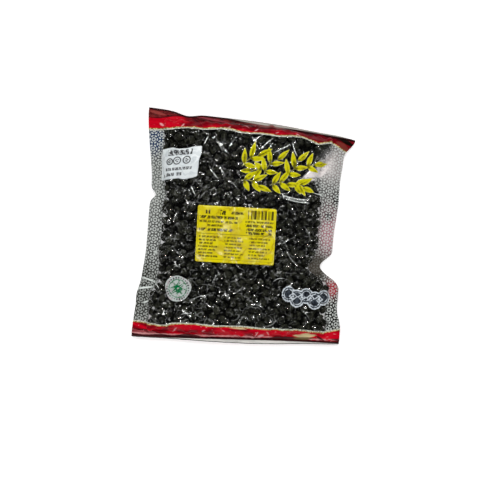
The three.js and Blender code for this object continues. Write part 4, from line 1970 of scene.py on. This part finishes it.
@dataclass(frozen=True)
class LabelFinish:
    """Glossy paper with rows of dashes, rules, rings and a block of stripes."""

    name: str
    paper: Colour
    # The worn colour is both the paper's wear and painted shade in its crumples; the shine colour is a painted
    # highlight on them.
    worn: Colour
    ink: Colour
    shine: Colour
    rows: tuple[PrintRow, ...]
    stripes: tuple[float, float, float, float] | None = None
    rules: tuple[PrintRow, ...] = ()
    rings: tuple[Triple, ...] = ()
    bold_from: float = 4.0
    bar: float = 1.9
    roughness: float = 0.3
    worn_roughness: float = 0.14
    creased: float = 0.0006

    def marks(self, sheet: NodeSheet, flat: Socket) -> list[Shade]:
        """Draw all that is printed on the paper.

        Args:
            sheet: the material's nodes.
            flat: the place on the paper.

        Returns:
            One number for each mark, 1 on its ink.
        """
        x, y = sheet.axes(flat)
        small, bold = (sheet.noise(flat, scale, 1).climb(0.4, 0.5) for scale in (1.2, 0.62))
        found = []
        for row in self.rows:
            words = (x + row.at * 7.3) / row.word + sheet.noise(flat, 0.21, 0) * 1.5
            letters = bold if row.tall > self.bold_from else small
            gapped = words.fract().climb(0.16, 0.24)
            found.append(row.inside(x, y, 0.12) * gapped * (letters * 0.6 + 0.4) * row.dark)
        found += [rule.inside(x, y) * rule.dark for rule in self.rules]
        for middle, level, radius in self.rings:
            away = ((x - middle) * (x - middle) + (y - level) * (y - level)).root()
            core = abs(away - radius * 0.35).climb(0.8, 0.4) * bold
            found.append(abs(away - radius).climb(0.7, 0.35).most(core) * 0.95)
        if self.stripes:
            left, right, low, high = self.stripes
            block = PrintRow(left, right, (low + high) / 2, high - low).inside(x, y)
            found.append(block * (x / self.bar + (x * 1.3).sine() * 0.35).fract().climb(0.42, 0.5) * 0.9)
        return found

    def make(self) -> Material:
        """Make the material.

        Returns:
            The material.
        """
        sheet = NodeSheet.material(self.name)
        ink = reduce(Shade.most, self.marks(sheet, sheet.vector("flat")))
        place = sheet.object_place()
        wear = sheet.noise(place, 90, 4).climb(0.35, 0.75)
        # Painted shade along the paper's crumples, and painted highlights on their ridges.
        folded = abs(sheet.noise(place, 55, 3) - 0.5).climb(0.035, 0.0)
        raised = abs(sheet.noise(place, 75, 2) - 0.47).climb(0.05, 0.0)
        raised = raised * sheet.noise(place, 40, 1).climb(0.45, 0.6)
        paper = sheet.blend((wear * 0.6).most(folded * 0.75), self.paper, self.worn)
        paper = sheet.blend(raised * 0.6, paper, self.shine)
        relief = sheet.noise(place, 100, 3, "RIDGED_MULTIFRACTAL") * 0.6 + sheet.noise(place, 60, 1) * 1.6
        return sheet.surface(
            {
                "Base Color": sheet.blend(ink, paper, self.ink),
                "Roughness": sheet.between(wear, self.roughness, self.roughness + self.worn_roughness),
                "Specular IOR Level": 0.5,
                "Normal": sheet.bump(relief, self.creased, 0.8),
            }
        )


# ---- Core ----


@dataclass
class BeanCore:
    """The dark middle of the block, which closes the view between the beans."""

    form: BagForm
    bench: Workbench
    inset: float = 5.4
    spacing: float = 3.2
    lowest_rise: float = 0.5

    def make(self) -> Piece:
        """Make the piece from both sheets' shapes, drawn in.

        Returns:
            The piece.
        """
        front, back = (Lattice(self.form, side, self.spacing) for side in (Side.FRONT, Side.BACK))
        risen = [np.flatnonzero(front.rise.max(axis=axis) > self.lowest_rise) for axis in (1, 0)]
        cut = tuple(slice(steps[0], steps[-1] + 1) for steps in risen)
        columns, rows = front.rise[cut].shape
        sheets = [
            (lattice.place - lattice.normal * self.inset)[cut].reshape(-1, 3) for lattice in (front, back)
        ]
        ring = self.bench.border(columns, rows)
        offset = columns * rows
        rim = np.stack([ring + offset, np.roll(ring, -1) + offset, np.roll(ring, -1), ring], axis=1)
        faces = np.concatenate(
            [
                self.bench.grid_faces(columns, rows),
                self.bench.grid_faces(columns, rows, False) + offset,
                rim,
            ]
        )
        return self.bench.make("bean_core", np.concatenate(sheets), faces)


# ---- Studio ----


@dataclass(frozen=True)
class Softbox:
    """A long narrow light that faces the bag and gives a share of the floor's brightness."""

    azimuth: float
    elevation: float
    share: float
    long: float
    short: float
    away: float = 2.2


@dataclass(frozen=True)
class Studio:
    """A pale floor, soft lights and the camera above the bag."""

    picture: int = 480
    mm_per_pixel: float = 0.9
    centre_pixel: Spot = (244.7, 231.7)
    turn: float = 4.6
    height: float = 0.8
    sensor: float = 36.0
    true_height: float = 0.016
    floor_half: float = 4.0
    floor_albedo: float = 0.9
    floor_glow: float = 0.4
    walls: float = 0.5
    overhead: float = 0.03
    wall_heights: Spot = (0.02, 0.18)
    boxes: tuple[Softbox, ...] = (
        Softbox(112, 56, 0.4, 1.8, 0.075),
        Softbox(66, 66, 0.17, 1.0, 0.05),
        Softbox(214, 60, 0.22, 1.3, 0.06),
        Softbox(322, 52, 0.22, 1.3, 0.06),
    )

    def build(self, aim: Spot) -> None:
        """Build the floor, the lights, the world and the camera.

        Args:
            aim: where the bag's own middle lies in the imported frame, in metres.
        """
        self._floor()
        for number, box in enumerate(self.boxes):
            self._light(f"softbox_{number}", box)
        self._world()
        self._camera(aim)

    def _floor(self) -> None:
        """Lay the pale floor."""
        mesh = bpy.data.meshes.new("floor")
        half = self.floor_half
        corners = [(-half, -half, 0), (half, -half, 0), (half, half, 0), (-half, half, 0)]
        mesh.from_pydata(corners, [], [(0, 1, 2, 3)])
        floor = bpy.data.objects.new("floor", mesh)
        bpy.context.scene.collection.objects.link(floor)
        sockets = {
            "Base Color": (self.floor_albedo,) * 3,
            "Roughness": 0.9,
            "Emission Color": (1.0, 1.0, 1.0),
            "Emission Strength": self.floor_glow,
        }
        mesh.materials.append(NodeSheet.material("pale_floor").surface(sockets))

    def _light(self, name: str, box: Softbox) -> None:
        """Hang one light so that it gives its share of the floor's brightness.

        Args:
            name: the light's name.
            box: its place, size and share.
        """
        climb, way = math.radians(box.elevation), math.radians(box.azimuth)
        flat = math.cos(climb)
        spot = Vector((flat * math.cos(way), flat * math.sin(way), math.sin(climb))) * box.away
        data = bpy.data.lights.new(name, "AREA")
        data.shape = "RECTANGLE"
        data.size = box.long
        data.size_y = box.short
        data.energy = box.share * math.pi**2 * box.away**2 / (self.floor_albedo * math.sin(climb))
        light = bpy.data.objects.new(name, data)
        light.location = spot
        light.rotation_euler = (-spot).to_track_quat("-Z", "Y").to_euler()
        bpy.context.scene.collection.objects.link(light)

    def _world(self) -> None:
        """Make the room: dim overhead, and paler towards the walls."""
        world = bpy.data.worlds.new("room")
        bpy.context.scene.world = world
        sheet = NodeSheet(world)
        place = sheet.node("ShaderNodeTexCoord").outputs["Generated"]
        up = sheet.node("ShaderNodeSeparateXYZ", {}, {0: place})
        low, high = self.wall_heights
        fade = {"From Min": low, "From Max": high, "To Min": self.walls, "To Max": self.overhead}
        glow = sheet.node(
            "ShaderNodeMapRange", {"interpolation_type": "SMOOTHSTEP"}, {"Value": up.outputs["Z"], **fade}
        )
        back = sheet.node("ShaderNodeBackground", {}, {"Strength": glow.outputs[0]})
        sheet.node("ShaderNodeOutputWorld", {}, {"Surface": back.outputs[0]})

    def _camera(self, aim: Spot) -> None:
        """Hang the camera above the bag, turned as it was held for the picture.

        Args:
            aim: where the bag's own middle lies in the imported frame, in metres.
        """
        data = bpy.data.cameras.new("camera")
        frame = self.picture * self.mm_per_pixel * MM
        data.sensor_width = self.sensor
        data.lens = self.sensor * (self.height - self.true_height) / frame
        right, down = ((pixel - self.picture / 2) * self.mm_per_pixel * MM for pixel in self.centre_pixel)
        turn = math.radians(self.turn)
        offset = Vector((-right, down)) @ Matrix.Rotation(-turn, 2)
        camera = bpy.data.objects.new("camera", data)
        camera.location = (aim[0] + offset.x, aim[1] + offset.y, self.height)
        camera.rotation_euler = Euler((0, 0, turn))
        bpy.context.scene.collection.objects.link(camera)
        bpy.context.scene.camera = camera
        bpy.context.scene.view_settings.view_transform = "Standard"


# ---- The whole ----


def yellow_finish() -> LabelFinish:
    """Choose the yellow label's print: three columns under a rule, and a block of stripes at the top right.

    Returns:
        The finish.
    """
    lines = (
        (-28, -24, 20.0, 4.2, 9, 1.0), (-15, -10, 19.6, 4.4, 9, 1.0), (-5, 6, 19.6, 2.4, 4, 1.0),
        (-33, 1, 15.0, 2.6, 5, 1.0), (-33, 1, 11.0, 2.0, 4, 0.85), (-26, -12, 7.6, 2.0, 4, 0.85),
        (-33, -3, 3.9, 2.6, 5, 1.0), (8, 33, 12.4, 1.7, 2.6, 0.9), (8, 33, 9.0, 2.3, 6, 0.95),
        (9, 32, 5.4, 2.4, 6, 1.0), (9, 32, 2.3, 2.4, 6, 1.0),
    )
    rows = [PrintRow(*line) for line in lines]
    for n in range(7):
        level = -2.6 - 2.9 * n
        rows.append(PrintRow(-33, -15 - 2.5 * (n % 3), level, 1.6, 3.4, 0.9))
        rows.append(PrintRow(-10, 5 + 2 * (n % 2), level, 1.5, 3.6, 0.8))
        rows.append(PrintRow(12, 31 - 2.2 * (n % 3), level, 1.5, 3.1, 0.8))
    rules = (
        PrintRow(-34, 34, 0.2, 0.45, dark=0.8),
        PrintRow(-34, 34, -22.6, 0.35, dark=0.6),
        PrintRow(-34.3, -33.9, 0.2, 46, dark=0.4),
        PrintRow(33.9, 34.3, 0.2, 46, dark=0.4),
    )
    return LabelFinish(
        "yellow_label_paper",
        srgb(214, 200, 4),
        srgb(168, 140, 4),
        srgb(26, 22, 6),
        srgb(230, 224, 96),
        tuple(rows),
        (10, 33, 14.8, 22.8),
        rules,
        roughness=0.2,
        creased=0.0022,
    )


def sticker_finish() -> LabelFinish:
    """Choose the price sticker's print: rows of dashes and three plain rings.

    Returns:
        The finish.
    """
    rows = (
        PrintRow(-11, 10, 9.9, 5.0, 4.6, 1.0),
        PrintRow(-13, 11, -4.8, 2.6, 3.4, 1.0),
        PrintRow(-13, 2, -9.6, 3.0, 4.0, 1.0),
    )
    return LabelFinish(
        "price_sticker_paper",
        srgb(212, 218, 219),
        srgb(180, 188, 192),
        srgb(14, 16, 22),
        srgb(236, 240, 240),
        rows,
        rings=((-9.6, 2.2, 2.6), (-3.0, 2.6, 3.1), (5.6, 2.6, 3.1)),
        roughness=0.42,
    )


def core_finish() -> Material:
    """Make the near-black finish of the block's middle.

    Returns:
        The material.
    """
    # Painted shade: the near-black stands for the beans further in, in shade.
    sheet = NodeSheet.material("bean_shade")
    colour = sheet.blend(sheet.noise(sheet.object_place(), 180, 3), srgb(1, 1, 1), srgb(8, 8, 7))
    return sheet.surface({"Base Color": colour, "Roughness": 0.8, "Specular IOR Level": 0.02})


def dress(piece: Piece, node: str, material: Material | None = None) -> None:
    """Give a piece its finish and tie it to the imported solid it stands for.

    Args:
        piece: the piece.
        node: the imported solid.
        material: the finish, where the piece hasn't got it yet.
    """
    if material:
        piece.data.materials.clear()
        piece.data.materials.append(material)
    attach(piece, BODY)
    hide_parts(node)
    LOG.info("%s: %d faces", piece.name, len(piece.data.polygons))


def main() -> None:
    """Build the bag, dress it and light it."""
    logging.basicConfig(level=logging.INFO, format="%(name)s: %(message)s")
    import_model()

    form = BagForm()
    front = Lattice(form, Side.FRONT)
    back = Lattice(form, Side.BACK, 0.85)
    low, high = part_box(BAG_NODE)
    own_low, own_high = front.place.reshape(-1, 3).min(0), front.place.reshape(-1, 3).max(0)
    shift = tuple((low[k] + high[k]) / (2 * MM) - (own_low[k] + own_high[k]) / 2 for k in (0, 1))
    bench = Workbench(shift)
    LOG.info("the bag's own middle lies at %s mm", shift)
    Studio().build((shift[0] * MM, shift[1] * MM))

    top_bed = BeanBed(front, 11)
    back_bed = BeanBed(back, 12, sink=0.5, wall_push=0.0, flush=True)
    under_top = BeanBed(front, 13, depth=7.2, sink=1.5, nearest=6.6, lowest_rise=0.4, wall_push=0.0)
    under_back = BeanBed(back, 14, depth=6.6, sink=1.0, nearest=6.6, lowest_rise=0.4, wall_push=0.0)
    LOG.info("%d beans at the front, %d at the back", len(top_bed.centre), len(back_bed.centre))

    heap = BeanHeap(bench, BeanFinish().make())
    tree = heap.tree()
    outer = [top_bed, back_bed]
    for kind, share in (
        (BeanKind.PLUMP, range(0, 5, 2)),
        (BeanKind.WRINKLED, range(2, 5, 2)),
        (BeanKind.DENTED, range(4, 5, 1)),
    ):
        dress(heap.lay(tree, kind, outer, share), BAG_NODE)
    deeper = heap.lay(tree, BeanKind.DEEPER, [under_top, under_back], range(0, 1, 1))
    dress(deeper, BAG_NODE)
    dress(BeanCore(form, bench).make(), BAG_NODE, core_finish())

    label = PaperSheet(bench, "yellow_label_paper", 70.5, 50.5, (-7.7, -3.8), 1.4, 1.8)
    sticker = PaperSheet(bench, "price_sticker_paper", 34.6, 28.0, (-62.5, 56.4), 4.5, 1.2, 4.8, 0.06, 1.1)
    x, y = front.place[..., 0], front.place[..., 1]
    stiff = np.maximum(label.cover(x, y), sticker.cover(x, y))
    film = FilmSheet(front, bench, top_bed, back_bed)
    film.settle(stiff)
    ground = HeightMap(film.place)
    lowered = np.minimum(film.place[..., 2], ground.at(x.clip(-98, 98), y.clip(-98, 98)) + 0.02)
    film.place[..., 2] += stiff * (lowered - film.place[..., 2])
    front_piece = film.make("film_front")
    film_print = FilmPrint(form)
    film_print.write(bench, front_piece, front.place)
    dress(front_piece, BAG_NODE, FilmFinish().make())

    under = FilmSheet(back, bench, back_bed, top_bed, lowest=-1.6, seed=882)
    under.settle(np.zeros_like(back.rise))
    back_piece = under.make("film_back")
    film_print.write(bench, back_piece, back.place)
    dress(back_piece, BAG_NODE, FilmFinish("plain_back_film", fronted=False).make())

    dress(label.make(ground), LABEL_NODE, yellow_finish().make())
    dress(sticker.make(ground), STICKER_NODE, sticker_finish().make())

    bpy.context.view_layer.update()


if __name__ == "__main__":
    main()
